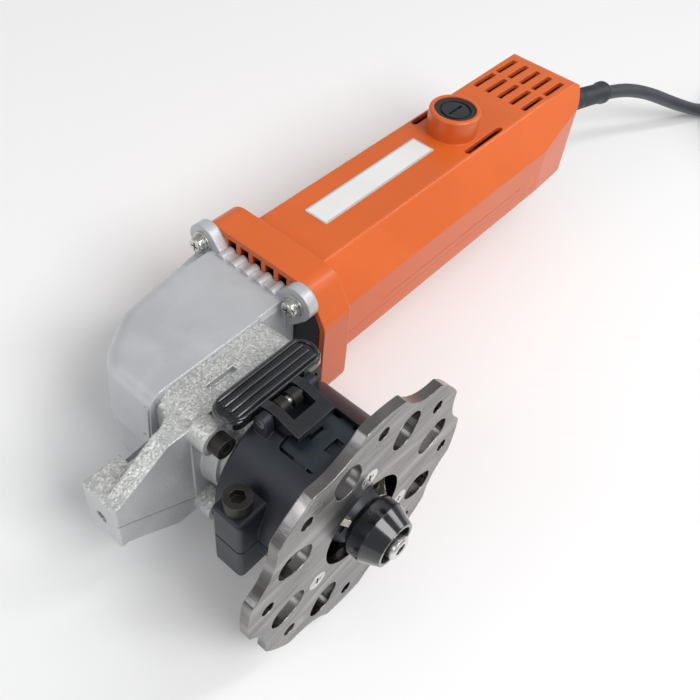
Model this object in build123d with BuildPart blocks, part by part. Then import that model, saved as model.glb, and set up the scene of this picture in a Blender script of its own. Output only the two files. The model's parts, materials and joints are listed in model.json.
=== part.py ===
"""Hand-held edge beveller: universal motor, bevel gear head, guide roller and guide plate.

The tool is modelled in its own axes: X is the motor axis and points to the head, Y is the
spindle axis and points to the guide plate, Z is up, and both axes meet at the origin.
At the end it is laid on the floor on its three lowest points and the cord is added.
All sizes are millimetres.
"""
from build123d import *
import math
import os

os.makedirs("parts", exist_ok=True)

# ------------------------------------------------------------------ clearances
slip = 0.05            # radial, running fit of a shaft or ring
journal_gap = 0.02     # radial, ground journal in a ball bearing
loose = 0.3            # between parts that never touch
screw_clear = 0.3      # radial, round a screw shank
fit_gap = 0.1          # between pieces that are dropped into a seat

# ------------------------------------------------------------------ motor line (along X)
joint_x = -43.0        # joint face of gear case and motor housing
flange_length = 16.0
barrel_length = 143.0
tail_length = 59.0
wall = 2.5

flange_x = joint_x - flange_length
barrel_x = flange_x - barrel_length
tail_x = barrel_x - tail_length

barrel_height = 61.0
barrel_width = 61.0
barrel_top_width = 36.0
barrel_side_height = 25.4
flange_height = 70.0
flange_width = 73.0
flange_top_width = 54.0
flange_side_height = 38.0
flange_corner = 9.0

# ------------------------------------------------------------------ head (along Y)
case_half_height = 28.0
case_nose_x = 30.0
case_back_y = -27.0
case_wall = 4.0
seam_y = 20.4          # gear case meets bearing box
box_half = 26.8
box_length = 17.6
neck_radius = 21.0
neck_end_y = 64.0
plate_y = 90.0         # rear face of the guide plate
plate_thickness = 4.0

# ------------------------------------------------------------------ gears
gear_teeth = 31
pinion_teeth = 10
gear_pitch_radius = 20.0
tooth_depth_factor = 0.75
tooth_root_factor = 1.25
tooth_width_share = 0.33
gear_face = 5.5
gear_gap_runout = 2.3      # the tooth gaps run out past the gear's rim
gear_gap_start = 0.6

# ------------------------------------------------------------------ bearings (bore, outer, width)
motor_bearing = (10.0, 26.0, 8.0)
tail_bearing = (8.0, 22.0, 7.0)
spindle_bearing = (12.0, 28.0, 8.0)
case_bearing = (7.0, 19.0, 6.0)

# ------------------------------------------------------------------ brush gear
brush_x = barrel_x + 30.0
boss_radius = 12.2
boss_top = 42.0
cap_radius = 9.9
cap_thickness = 6.0
commutator_radius = 11.5
brush_size = (9.0, 6.5)

# ------------------------------------------------------------------ motor inside
core_radius = 17.5
air_gap = 0.8
stack_length = 55.0
stack_front = flange_x - 24.0
fan_radius = 28.5
shaft_radius = motor_bearing[0] / 2 - journal_gap

# ------------------------------------------------------------------ guide unit
collar_radius = 30.6
collar_start = neck_end_y - 12.0
collar_end = 85.0
ring_radius = 28.5
ring_bore = 24.1
ring_start = neck_end_y + 0.6
ring_length = 18.0
notch_count = 12
notch_width = 7.0
notch_depth = 2.6
ear_x = 38.5
ear_half_height = 17.0
ear_start = 59.7
ear_length = 13.6
clamp_bolt_x = 32.6
clamp_bolt_radius = 3.0

plate_radius = 55.5
plate_phase = -4.67    # degrees, turn of the hole pattern about the spindle
lobe_count = 8
small_hole_circle = 47.0
small_hole_radius = 2.75
sight_circle = 39.0
sight_length = 16.0
sight_width = 12.2
centre_hole_radius = 19.0
plate_screw_circle = 26.0
plate_screw_radius = 2.0
plate_screw_head = 4.0

roller_radius = 12.1
roller_start = 95.6
roller_nose_radius = 9.1
roller_end = 108.6
roller_bolt_radius = 3.0

# ------------------------------------------------------------------ cord
cord_radius = 4.0
boot_length = 34.0
boot_root_radius = 7.4
boot_tip_radius = 5.4


# ------------------------------------------------------------------ planes and small helpers
def at_x(x):
    """Plane across the motor axis: its local x is tool Y and its local y is tool Z."""
    return Plane.YZ.offset(x)


def at_y(y):
    """Plane across the spindle: its local x points to the tail and its local y is up."""
    return Plane(origin=(0, y, 0), x_dir=(-1, 0, 0), z_dir=(0, 1, 0))


def at_z(z):
    return Plane.XY.offset(z)


def octagon(width, height, top_width, side_height):
    """Corner points of an eight-sided section, counter-clockwise."""
    w, h, t, s = width / 2, height / 2, top_width / 2, side_height / 2
    return [(w, -s), (w, s), (t, h), (-t, h), (-w, s), (-w, -s), (-t, -h), (t, -h)]


def barrel_points(inset=0.0):
    """The barrel's section, moved inwards by the same amount on every side."""
    slant_x = (barrel_width - barrel_top_width) / 2
    slant_z = (barrel_height - barrel_side_height) / 2
    slant = math.hypot(slant_x, slant_z)
    top = barrel_top_width - 2 * inset * (slant - slant_z) / slant_x
    side = barrel_side_height - 2 * inset * (slant - slant_x) / slant_z
    return octagon(barrel_width - 2 * inset, barrel_height - 2 * inset, top, side)


def flange_points(inset=0.0):
    return octagon(flange_width - 2 * inset, flange_height - 2 * inset,
                   flange_top_width - inset, flange_side_height - inset)


def turned(steps, axis, bore=0.0):
    """A stepped round part. steps is a list of (start, end, radius) along the axis."""
    points = [(steps[0][0], bore)]
    for start, end, radius in steps:
        points += [(start, radius), (end, radius)]
    points.append((steps[-1][1], bore))
    outline = [points[0]]
    for point in points[1:]:
        if point != outline[-1]:
            outline.append(point)
    if axis.direction.Y > 0.5:
        outline = [(radius, along) for along, radius in outline]
    with BuildPart() as piece:
        with BuildSketch(Plane.XY):
            with BuildLine():
                Polyline(*outline, close=True)
            make_face()
        revolve(axis=axis)
    return piece


def bearing(plane, sizes):
    """A ball bearing as one piece: two rings, with a shallow groove for the shield each side."""
    bore, outer, width = sizes
    mid = (bore + outer) / 4
    with BuildPart() as piece:
        with BuildSketch(plane):
            Circle(outer / 2)
            Circle(bore / 2, mode=Mode.SUBTRACT)
        extrude(amount=width)
        for end_plane, depth in ((plane, 0.5), (plane.offset(width), -0.5)):
            with BuildSketch(end_plane):
                Circle(mid + (outer - bore) / 9)
                Circle(mid - (outer - bore) / 9, mode=Mode.SUBTRACT)
            extrude(amount=depth, mode=Mode.SUBTRACT)
    return piece


def socket_screws(plane, places, shank, length, head, head_height, key):
    """Socket cap screws whose heads stand on the plane and whose shanks go down from it."""
    with BuildPart() as screws:
        with BuildSketch(plane):
            with Locations(*places):
                Circle(shank)
        extrude(amount=-length)
        with BuildSketch(plane):
            with Locations(*places):
                Circle(head)
        extrude(amount=head_height)
        with BuildSketch(plane.offset(head_height)):
            with Locations(*places):
                RegularPolygon(key, 6)
        extrude(amount=-head_height * 0.55, mode=Mode.SUBTRACT)
    return screws


def ring_of(plane, places, outer, inner, thickness):
    """Washers: flat rings standing on the plane at each place."""
    with BuildPart() as washers:
        with BuildSketch(plane):
            with Locations(*places):
                Circle(outer)
                Circle(inner, mode=Mode.SUBTRACT)
        extrude(amount=thickness)
    return washers


pieces = {}


def keep(name, builder):
    """Label a finished piece and put it on the list that is laid down and written."""
    builder.part.label = name
    pieces[name] = builder.part


# ------------------------------------------------------------------ motor housing
case_screw_places = [(sy * 25.0, sz * 28.5) for sy in (1, -1) for sz in (1, -1)]
case_screw_radius = 2.0
screw_post_radius = 5.0
bulkhead_thickness = 6.0
bulkhead_x = barrel_x + 3.0
exhaust_half_width = 17.0
exhaust_ribs = 6
slot_y = 15.5
switch_slot_half_height = 3.3
knob_x = -87.0
knob_travel = 8.0
boss_foot = 13.5

with BuildPart() as motor_housing:
    with BuildSketch(at_x(barrel_x)):
        Polygon(*barrel_points(), align=None)
    extrude(amount=barrel_length)
    fillet(motor_housing.edges().filter_by(Axis.X), radius=2.0)
    with BuildSketch(at_x(flange_x)):
        Polygon(*flange_points(), align=None)
        fillet(vertices(), radius=flange_corner)
    extrude(amount=flange_length)
    fillet(motor_housing.edges().filter_by_position(Axis.X, flange_x - 0.1, flange_x + 0.1)
           .sort_by(SortBy.LENGTH)[-8:], radius=1.0)
    with BuildSketch(at_z(0)):
        with Locations((brush_x, 0)):
            Circle(boss_radius)
    extrude(amount=boss_top, both=True)
    fillet(motor_housing.edges().filter_by_position(Axis.Z, boss_top - 0.1, boss_top + 0.1), 1.2)
    fillet(motor_housing.edges().filter_by_position(Axis.Z, -boss_top - 0.1, -boss_top + 0.1), 1.2)
    # barrel and fan chamber
    with BuildSketch(at_x(barrel_x)):
        Polygon(*barrel_points(wall), align=None)
    extrude(amount=barrel_length + wall, mode=Mode.SUBTRACT)
    with BuildSketch(at_x(flange_x + wall)):
        Polygon(*flange_points(wall), align=None)
        fillet(vertices(), radius=flange_corner - wall)
    extrude(amount=flange_length, mode=Mode.SUBTRACT)
    # posts for the four case screws
    with BuildSketch(at_x(flange_x + wall / 2)):
        with Locations(*case_screw_places):
            Circle(screw_post_radius)
    extrude(amount=flange_length - wall / 2)
    with BuildSketch(at_x(joint_x)):
        with Locations(*case_screw_places):
            Circle(case_screw_radius)
    extrude(amount=-12.0, mode=Mode.SUBTRACT)
    # ribs across the exhaust opening, top and bottom
    with BuildSketch(at_x(joint_x)):
        for side in (1, -1):
            with Locations((0, side * (flange_height / 2 - 4.2))):
                with GridLocations(2 * exhaust_half_width / (exhaust_ribs - 1), 1, exhaust_ribs, 1):
                    Rectangle(2.3, 6.4)
    extrude(amount=-5.5)
    # brush tubes and the bulkhead that holds the tail bearing
    with BuildSketch(at_z(boss_foot)):
        with Locations((brush_x, 0)):
            Circle(boss_radius)
    extrude(amount=barrel_height / 2 - boss_foot - 1.0)
    with BuildSketch(at_z(-boss_foot)):
        with Locations((brush_x, 0)):
            Circle(boss_radius)
    extrude(amount=-(barrel_height / 2 - boss_foot - 1.0))
    with BuildSketch(at_x(bulkhead_x)):
        Polygon(*barrel_points(wall), align=None)
        Circle(tail_bearing[1] / 2 - 2.0, mode=Mode.SUBTRACT)
        with PolarLocations(20.0, 4, start_angle=45):
            Circle(5.5, mode=Mode.SUBTRACT)
        with Locations((-barrel_width / 2 + wall, 0)):
            Rectangle(8.0, 2 * switch_slot_half_height + 1.0, mode=Mode.SUBTRACT)
    extrude(amount=bulkhead_thickness)
    with BuildSketch(at_x(bulkhead_x + bulkhead_thickness)):
        Circle(tail_bearing[1] / 2 + 2.5)
        Circle(tail_bearing[1] / 2, mode=Mode.SUBTRACT)
    extrude(amount=tail_bearing[2])
    # bores for the brush holders and caps
    for side in (1, -1):
        with BuildSketch(at_z(side * boss_top)):
            with Locations((brush_x, 0)):
                Circle(cap_radius + slip)
        extrude(amount=-side * cap_thickness, mode=Mode.SUBTRACT)
        with BuildSketch(at_z(side * boss_top)):
            with Locations((brush_x, 0)):
                Circle(8.0)
        extrude(amount=-side * (boss_top - boss_foot + 1), mode=Mode.SUBTRACT)
    # cooling slots beside the brush bosses
    for side in (1, -1):
        with BuildSketch(at_z(side * barrel_height / 2)):
            with Locations((brush_x - 4.5, slot_y), (brush_x - 4.5, -slot_y)):
                SlotOverall(29.0, 3.2)
        extrude(amount=-side * (wall + 2), mode=Mode.SUBTRACT)
    # slot for the switch slider, and the raised rails beside it
    with BuildSketch(at_y(-barrel_width / 2)):
        with Locations((-knob_x - knob_travel / 2, 0)):
            Rectangle(knob_travel + 8.0, 2 * switch_slot_half_height)
    extrude(amount=wall + 1, mode=Mode.SUBTRACT)
    with BuildSketch(at_y(-barrel_width / 2 + 0.5)):
        with Locations((82.5, 9.0), (82.5, -9.0)):
            Rectangle(37.0, 2.6)
    extrude(amount=-3.2)
    # moulded parting line along both sides
    for side in (1, -1):
        with BuildSketch(at_y(side * barrel_width / 2)):
            with Locations((-(flange_x + barrel_x) / 2 + 12.0, -1.0)):
                Rectangle(barrel_length - 34.0, 0.6)
        extrude(amount=-side * 0.4, mode=Mode.SUBTRACT)
keep("motor_housing", motor_housing)


# ------------------------------------------------------------------ tail cover
def tail_form(inset):
    """The tail's outer or inner form: the barrel section with its rear end rounded."""
    end_x = tail_x + inset
    half = barrel_height / 2 - inset
    with BuildPart() as form:
        with BuildSketch(at_x(barrel_x)):
            Polygon(*barrel_points(inset), align=None)
        extrude(amount=end_x - barrel_x)
        if inset == 0.0:
            fillet(form.edges().filter_by(Axis.X), radius=2.0)
        with BuildSketch(at_z(-barrel_height)):
            with BuildLine():
                FilletPolyline((barrel_x + 1, -half - 2), (end_x, -half + 6), (end_x, half - 6),
                               (barrel_x + 1, half + 2), radius=14.0 - inset)
                Line((barrel_x + 1, half + 2), (barrel_x + 1, -half - 2))
            make_face()
        extrude(amount=2 * barrel_height, mode=Mode.INTERSECT)
        with BuildSketch(at_y(-barrel_width)):
            with BuildLine():
                FilletPolyline((-barrel_x - 1, half + 0.5), (-end_x, half - 1.5), (-end_x, -half * 0.55),
                               radius=8.0 - inset)
                FilletPolyline((-end_x, -half * 0.55), (-end_x, -half - 0.5), (-barrel_x - 1, -half - 0.5),
                               radius=half * 0.42)
                Line((-barrel_x - 1, -half - 0.5), (-barrel_x - 1, half + 0.5))
            make_face()
        extrude(amount=2 * barrel_width, mode=Mode.INTERSECT)
    return form


tail_inside = tail_form(wall)
vent_rows = 5
vent_pitch = 7.2
vent_length = 17.4
vent_width = 3.0
gland_radius = 8.0
gland_z = 2.0

with BuildPart() as tail_cover:
    add(tail_form(0.0).part)
    add(tail_inside.part, mode=Mode.SUBTRACT)
    with BuildSketch(at_x(barrel_x - 2.0)):
        Polygon(*barrel_points(wall), align=None)
    extrude(amount=4.0, mode=Mode.SUBTRACT)
    # cord gland
    with BuildSketch(at_x(tail_x)):
        with Locations((0, gland_z)):
            Circle(gland_radius + 2.5)
    extrude(amount=8.0)
    with BuildSketch(at_x(tail_x)):
        with Locations((0, gland_z)):
            Circle(gland_radius)
    extrude(amount=10.0, mode=Mode.SUBTRACT)
    for side in (1, -1):
        with BuildSketch(at_z(side * barrel_height / 2)):
            with Locations((barrel_x - 18.2, 0), (barrel_x - 38.5, 0)):
                with GridLocations(1, vent_pitch, 1, vent_rows):
                    RectangleRounded(vent_length, vent_width, 0.6)
        extrude(amount=-side * (wall + 1.5), mode=Mode.SUBTRACT)
keep("tail_cover", tail_cover)

with BuildPart() as label_plate:
    label_length = 74.0
    with BuildSketch(at_z(barrel_height / 2)):
        with Locations((flange_x - 57.0, -2.0)):
            RectangleRounded(label_length, 12.3, 0.6)
    extrude(amount=0.3)
keep("label_plate", label_plate)

# ------------------------------------------------------------------ brush gear
with BuildPart() as brush_caps:
    for side in (1, -1):
        with BuildSketch(at_z(side * (boss_top - cap_thickness))):
            with Locations((brush_x, 0)):
                Circle(cap_radius)
        extrude(amount=side * (cap_thickness - 0.8))
        with BuildSketch(at_z(side * (boss_top - 0.8))):
            with Locations((brush_x, 0)):
                Circle(7.6)
                Circle(6.4, mode=Mode.SUBTRACT)
        extrude(amount=-side * 0.9, mode=Mode.SUBTRACT)
        with BuildSketch(at_z(side * (boss_top - 0.8))):
            with Locations((brush_x, 0)):
                Rectangle(10.0, 1.5, rotation=0)
        extrude(amount=-side * 1.6, mode=Mode.SUBTRACT)
keep("brush_caps", brush_caps)

holder_top = boss_top - cap_thickness - fit_gap
with BuildPart() as brush_holders:
    for side in (1, -1):
        with BuildSketch(at_z(side * (boss_foot + 0.4))):
            with Locations((brush_x, 0)):
                Circle(7.9)
                Rectangle(brush_size[0] + 2 * slip, brush_size[1] + 2 * slip, mode=Mode.SUBTRACT)
        extrude(amount=side * (holder_top - boss_foot - 0.4))
keep("brush_holders", brush_holders)

brush_length = 12.0
with BuildPart() as carbon_brushes:
    for side in (1, -1):
        with BuildSketch(at_z(side * commutator_radius)):
            with Locations((brush_x, 0)):
                Rectangle(*brush_size)
        extrude(amount=side * brush_length)
    # the worn face follows the commutator
    with BuildSketch(at_x(brush_x - 10)):
        Circle(commutator_radius + slip)
    extrude(amount=20.0, mode=Mode.SUBTRACT)
keep("carbon_brushes", carbon_brushes)

spring_wire = 0.5
with BuildPart() as brush_springs:
    for side in (1, -1):
        turns = 5
        foot = commutator_radius + brush_length
        rise = holder_top - foot - 1.0
        for turn in range(turns):
            with BuildSketch(at_z(side * (foot + 0.1 + rise * turn / (turns - 1)))):
                with Locations((brush_x, 0)):
                    Circle(2.9)
                    Circle(2.1, mode=Mode.SUBTRACT)
            extrude(amount=side * 0.8)
        with BuildSketch(at_z(side * (foot + 0.1))):
            with Locations((brush_x, 0)):
                Rectangle(1.0, 5.4)
        extrude(amount=side * (rise + 0.8))
keep("brush_springs", brush_springs)

# ------------------------------------------------------------------ stator
stator_half_width = 25.2
stator_half_height = barrel_height / 2 - wall - 0.3
coil_length = 8.0
with BuildPart() as stator_core:
    with BuildSketch(at_x(stack_front - stack_length)):
        Rectangle(2 * stator_half_width, 2 * stator_half_height)
        chamfer(vertices(), 12.6)
        Circle(core_radius + air_gap, mode=Mode.SUBTRACT)
        with Locations((0, 0)):
            Rectangle(2 * (core_radius + 4.6), 15.0, mode=Mode.SUBTRACT)
    extrude(amount=stack_length)
keep("stator_core", stator_core)

with BuildPart() as field_coils:
    for side in (1, -1):
        for end, direction in ((stack_front, 1), (stack_front - stack_length, -1)):
            with BuildSketch(at_x(end)):
                with Locations((0, side * (core_radius + 4.4))):
                    RectangleRounded(37.6, 6.4, 2.8)
            extrude(amount=direction * coil_length)
        for edge in (1, -1):
            with BuildSketch(at_x(stack_front - stack_length)):
                with Locations((edge * (core_radius + 2.7), side * 3.7)):
                    Rectangle(3.4, 7.2)
            extrude(amount=stack_length)
            with BuildSketch(at_x(stack_front - stack_length - coil_length)):
                with Locations((edge * (core_radius + 2.7), side * 9.9)):
                    Rectangle(3.4, 20.0)
            extrude(amount=coil_length)
            with BuildSketch(at_x(stack_front)):
                with Locations((edge * (core_radius + 2.7), side * 9.9)):
                    Rectangle(3.4, 20.0)
            extrude(amount=coil_length)
keep("field_coils", field_coils)

# ------------------------------------------------------------------ fan baffle
baffle_x = joint_x - 3.0
with BuildPart() as fan_baffle:
    with BuildSketch(at_x(baffle_x)):
        Polygon(*flange_points(wall + loose), align=None)
        fillet(vertices(), radius=flange_corner - wall - loose)
        Circle(16.0, mode=Mode.SUBTRACT)
        with Locations(*case_screw_places):
            Circle(screw_post_radius + loose, mode=Mode.SUBTRACT)
        for side in (1, -1):
            with Locations((0, side * (flange_height / 2 - 3.0))):
                Rectangle(2 * exhaust_half_width + 4, 11.0, mode=Mode.SUBTRACT)
    extrude(amount=2.6)
keep("fan_baffle", fan_baffle)

# ------------------------------------------------------------------ rotor
pinion_pitch_radius = gear_pitch_radius * pinion_teeth / gear_teeth
module = 2 * gear_pitch_radius / gear_teeth
cone_distance = math.hypot(gear_pitch_radius, pinion_pitch_radius)


def gear_star(teeth, pitch_radius, axial, at_tooth):
    """Tooth outline of a bevel gear on the plane at the given distance from the apex."""
    cone = math.atan2(pitch_radius, math.sqrt(cone_distance ** 2 - pitch_radius ** 2))
    tip = axial * math.tan(cone + math.atan(tooth_depth_factor * module / cone_distance))
    root = axial * math.tan(cone - math.atan(tooth_root_factor * module / cone_distance))
    pitch_angle = 2 * math.pi / teeth
    slope = 0.73 * module / pitch_radius
    tip_half = pitch_angle * tooth_width_share / 2 - slope * tooth_depth_factor / 2
    root_half = pitch_angle * tooth_width_share / 2 + slope * tooth_root_factor / 2
    points = []
    for tooth in range(teeth):
        centre = pitch_angle * (tooth + (0.0 if at_tooth else 0.5)) + math.pi / 2
        for radius, angle in ((root, -root_half), (tip, -tip_half), (tip, tip_half), (root, root_half)):
            points.append((radius * math.cos(centre + angle), radius * math.sin(centre + angle)))
    return points


pinion_front = -13.5
pinion_back = -gear_pitch_radius - 0.6
with BuildPart() as pinion:
    with BuildSketch(at_x(pinion_back)):
        with BuildLine():
            back_star = gear_star(pinion_teeth, pinion_pitch_radius, -pinion_back, True)
            Polyline(*[(y, z) for z, y in back_star], close=True)
        make_face()
    with BuildSketch(at_x(pinion_front)):
        with BuildLine():
            front_star = gear_star(pinion_teeth, pinion_pitch_radius, -pinion_front, True)
            Polyline(*[(y, z) for z, y in front_star], close=True)
        make_face()
    loft(ruled=True)
    with BuildSketch(at_x(pinion_back)):
        Circle(5.6)
    extrude(amount=-8.0)
    with BuildSketch(at_x(pinion_back - 8.0)):
        Circle(2.5)
    extrude(amount=9.0, mode=Mode.SUBTRACT)
keep("pinion", pinion)

pinion_tail = pinion_back - 8.0
motor_bearing_x = joint_x + 1.0
tail_bearing_x = bulkhead_x + bulkhead_thickness
stack_back = stack_front - stack_length
commutator_front = brush_x + 9.5
commutator_back = brush_x - 9.5
rotor_steps = [
    (tail_bearing_x + 0.5, tail_bearing_x + tail_bearing[2], tail_bearing[0] / 2 - journal_gap),
    (tail_bearing_x + tail_bearing[2], stack_front + 14.0, 5.6),
    (stack_front + 14.0, pinion_tail - 0.2, shaft_radius),
    (pinion_tail - 0.2, pinion_back - 0.5, 2.5),
]
armature_shaft = turned(rotor_steps, Axis.X)
keep("armature_shaft", armature_shaft)

slot_count = 12
with BuildPart() as armature_core:
    with BuildSketch(at_x(stack_back)):
        Circle(core_radius)
        Circle(5.6, mode=Mode.SUBTRACT)
        with PolarLocations(core_radius - 2.6, slot_count):
            Rectangle(6.4, 1.9, mode=Mode.SUBTRACT)
    extrude(amount=stack_length)
keep("armature_core", armature_core)

armature_winding = turned([(stack_back - 9.0, stack_back, 15.2)], Axis.X, bore=5.6)
with BuildPart() as armature_windings:
    add(armature_winding.part)
    add(turned([(stack_front, stack_front + 8.0, 15.2)], Axis.X, bore=5.6).part)
    fillet(armature_windings.edges().filter_by(GeomType.CIRCLE).sort_by(SortBy.RADIUS)[-4:], 2.2)
keep("armature_windings", armature_windings)

with BuildPart() as commutator:
    with BuildSketch(at_x(commutator_back)):
        Circle(commutator_radius)
        Circle(5.6, mode=Mode.SUBTRACT)
        with PolarLocations(commutator_radius, 24):
            Rectangle(1.6, 0.4, mode=Mode.SUBTRACT)
    extrude(amount=commutator_front - commutator_back)
keep("commutator", commutator)

fan_back = stack_front + 9.5
fan_front = baffle_x - 2.0
fan_blades = 14
with BuildPart() as cooling_fan:
    with BuildSketch(at_x(fan_front - 2.0)):
        Circle(fan_radius)
        Circle(shaft_radius, mode=Mode.SUBTRACT)
    extrude(amount=-1.6)
    with BuildSketch(at_x(fan_front - 2.0)):
        Circle(9.0)
        Circle(shaft_radius, mode=Mode.SUBTRACT)
    extrude(amount=-7.0)
    with BuildSketch(at_x(fan_front - 3.6)):
        with PolarLocations(20.0, fan_blades):
            Rectangle(15.0, 1.4, rotation=25)
    extrude(amount=-8.0)
keep("cooling_fan", cooling_fan)

keep("motor_bearing", bearing(at_x(motor_bearing_x), motor_bearing))
keep("tail_bearing", bearing(at_x(tail_bearing_x), tail_bearing))

# ------------------------------------------------------------------ gear case
box_screw_places = [(sx * 21.6, sz * 21.2) for sx in (1, -1) for sz in (1, -1)]
box_screw_radius = 2.5
box_screw_depth = 9.0
ear_thickness = 5.0

with BuildPart() as gear_case:
    for side in (1, -1):
        with BuildSketch(at_z(0)):
            with BuildLine():
                FilletPolyline((joint_x, case_back_y - 2.5), (9.0, case_back_y + 5.5),
                               (case_nose_x, case_back_y + 20.0), (case_nose_x + 0.6, seam_y + 12.0),
                               radius=17.0)
                Polyline((case_nose_x + 0.6, seam_y + 12.0), (joint_x, seam_y + 12.0),
                         (joint_x, case_back_y - 2.5))
            make_face()
        extrude(amount=side * case_half_height, taper=4.0)
    for side_z in (case_half_height, -case_half_height):
        fillet(gear_case.edges().filter_by_position(Axis.Z, side_z - 0.1, side_z + 0.1), 7.0)
    split(bisect_by=Plane.XZ.offset(-seam_y), keep=Keep.TOP)
    # rear plate that meets the motor housing, with its four ears
    with BuildSketch(at_x(joint_x)):
        with Locations(((seam_y - 30.0) / 2, 0)):
            RectangleRounded(seam_y + 30.0, 2 * case_half_height - 0.6, 6.0)
    extrude(amount=5.0)
    for place_y, place_z in case_screw_places:
        with BuildSketch(at_x(joint_x)):
            with Locations((place_y, place_z)):
                Circle(7.4)
            with Locations((place_y * 0.62, place_z * 0.62)):
                Circle(7.0)
            make_hull()
        extrude(amount=5.0)
    # small bumps between the exhaust openings
    with BuildSketch(at_x(joint_x)):
        for side in (1, -1):
            with Locations((0, side * (case_half_height - 0.6))):
                with GridLocations(2 * exhaust_half_width / (exhaust_ribs - 1), 1, exhaust_ribs - 1, 1):
                    Circle(2.1)
    extrude(amount=6.5)
    # gear cavity, open to the bearing box, and the pinion tunnel with its bearing seat
    with BuildSketch(at_y(seam_y)):
        with Locations((0, 0)):
            RectangleRounded(2 * (gear_pitch_radius + 4.0), 2 * (gear_pitch_radius + 3.4), 12.0)
    extrude(amount=-(seam_y + 9.0), mode=Mode.SUBTRACT)
    with BuildSketch(at_x(joint_x)):
        Circle(9.0)
    extrude(amount=30.0, mode=Mode.SUBTRACT)
    with BuildSketch(at_x(joint_x)):
        Circle(motor_bearing[1] / 2)
    extrude(amount=motor_bearing[2] + 1.0, mode=Mode.SUBTRACT)
    # blind seat of the spindle's inner bearing
    with BuildSketch(at_y(-9.0)):
        Circle(case_bearing[1] / 2)
    extrude(amount=-(case_bearing[2] + 1.5), mode=Mode.SUBTRACT)
    with BuildSketch(at_x(joint_x + ear_thickness)):
        with Locations(*case_screw_places):
            Circle(case_screw_radius + screw_clear)
    extrude(amount=-6.0, mode=Mode.SUBTRACT)
    # room for the washers and heads in front of the ears
    with BuildSketch(at_x(joint_x + ear_thickness)):
        with Locations(*case_screw_places):
            Circle(5.4)
    extrude(amount=14.0, mode=Mode.SUBTRACT)
    # tapped holes for the bearing box screws
    with BuildSketch(at_y(seam_y)):
        with Locations(*box_screw_places):
            Circle(box_screw_radius)
    extrude(amount=-box_screw_depth, mode=Mode.SUBTRACT)
keep("gear_case", gear_case)

# ------------------------------------------------------------------ bearing box
box_end_y = seam_y + box_length
lug_length = 7.0
lug_end_y = box_end_y + lug_length
arm_root_x = 14.0
arm_slope_x = 36.0     # the arm keeps the box's height up to here
arm_step_x = 48.0
arm_root_half = 25.2
arm_slope_half = 24.6
arm_step_half = 16.7
arm_web_start = 30.0
arm_web_end = 38.0
arm_cove = 8.0         # radius of the sweep from the box's side into the arm
arm_block_start_x = 44.0
arm_block_end_x = 60.0
arm_block_end_y = 36.7
arm_half_height = 11.5
side_hole_radius = 2.5
side_hole_depth = 12.0
spindle_bearing_y = 37.0
seal_radius = 10.0

# the arm: its outline from above, cut to its sloping outline seen from the plate
box_side_x = box_half
arm_web_end_x = arm_block_end_x - 2.0
cove_mid = arm_cove * math.sqrt(0.5)
arm_elevation = [(-arm_root_x, arm_root_half), (-arm_slope_x, arm_slope_half),
                 (-arm_step_x, arm_step_half), (-arm_web_end_x, arm_half_height - 0.6)]
with BuildPart() as arm:
    with BuildSketch(at_z(-arm_root_half)):
        with BuildLine():
            Polyline((arm_root_x, arm_web_start - arm_cove), (box_side_x, arm_web_start - arm_cove))
            ThreePointArc((box_side_x, arm_web_start - arm_cove),
                          (box_side_x + arm_cove - cove_mid, arm_web_start - arm_cove + cove_mid),
                          (box_side_x + arm_cove, arm_web_start))
            Polyline((box_side_x + arm_cove, arm_web_start), (arm_web_end_x, arm_web_start),
                     (arm_web_end_x, arm_block_end_y - 0.1), (arm_root_x, arm_web_end),
                     (arm_root_x, arm_web_start - arm_cove))
        make_face()
    extrude(amount=2 * arm_root_half)
    with BuildSketch(at_y(seam_y)):
        Polygon(*arm_elevation, *[(x, -z) for x, z in reversed(arm_elevation)], align=None)
    extrude(amount=arm_web_end - seam_y, mode=Mode.INTERSECT)

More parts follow.
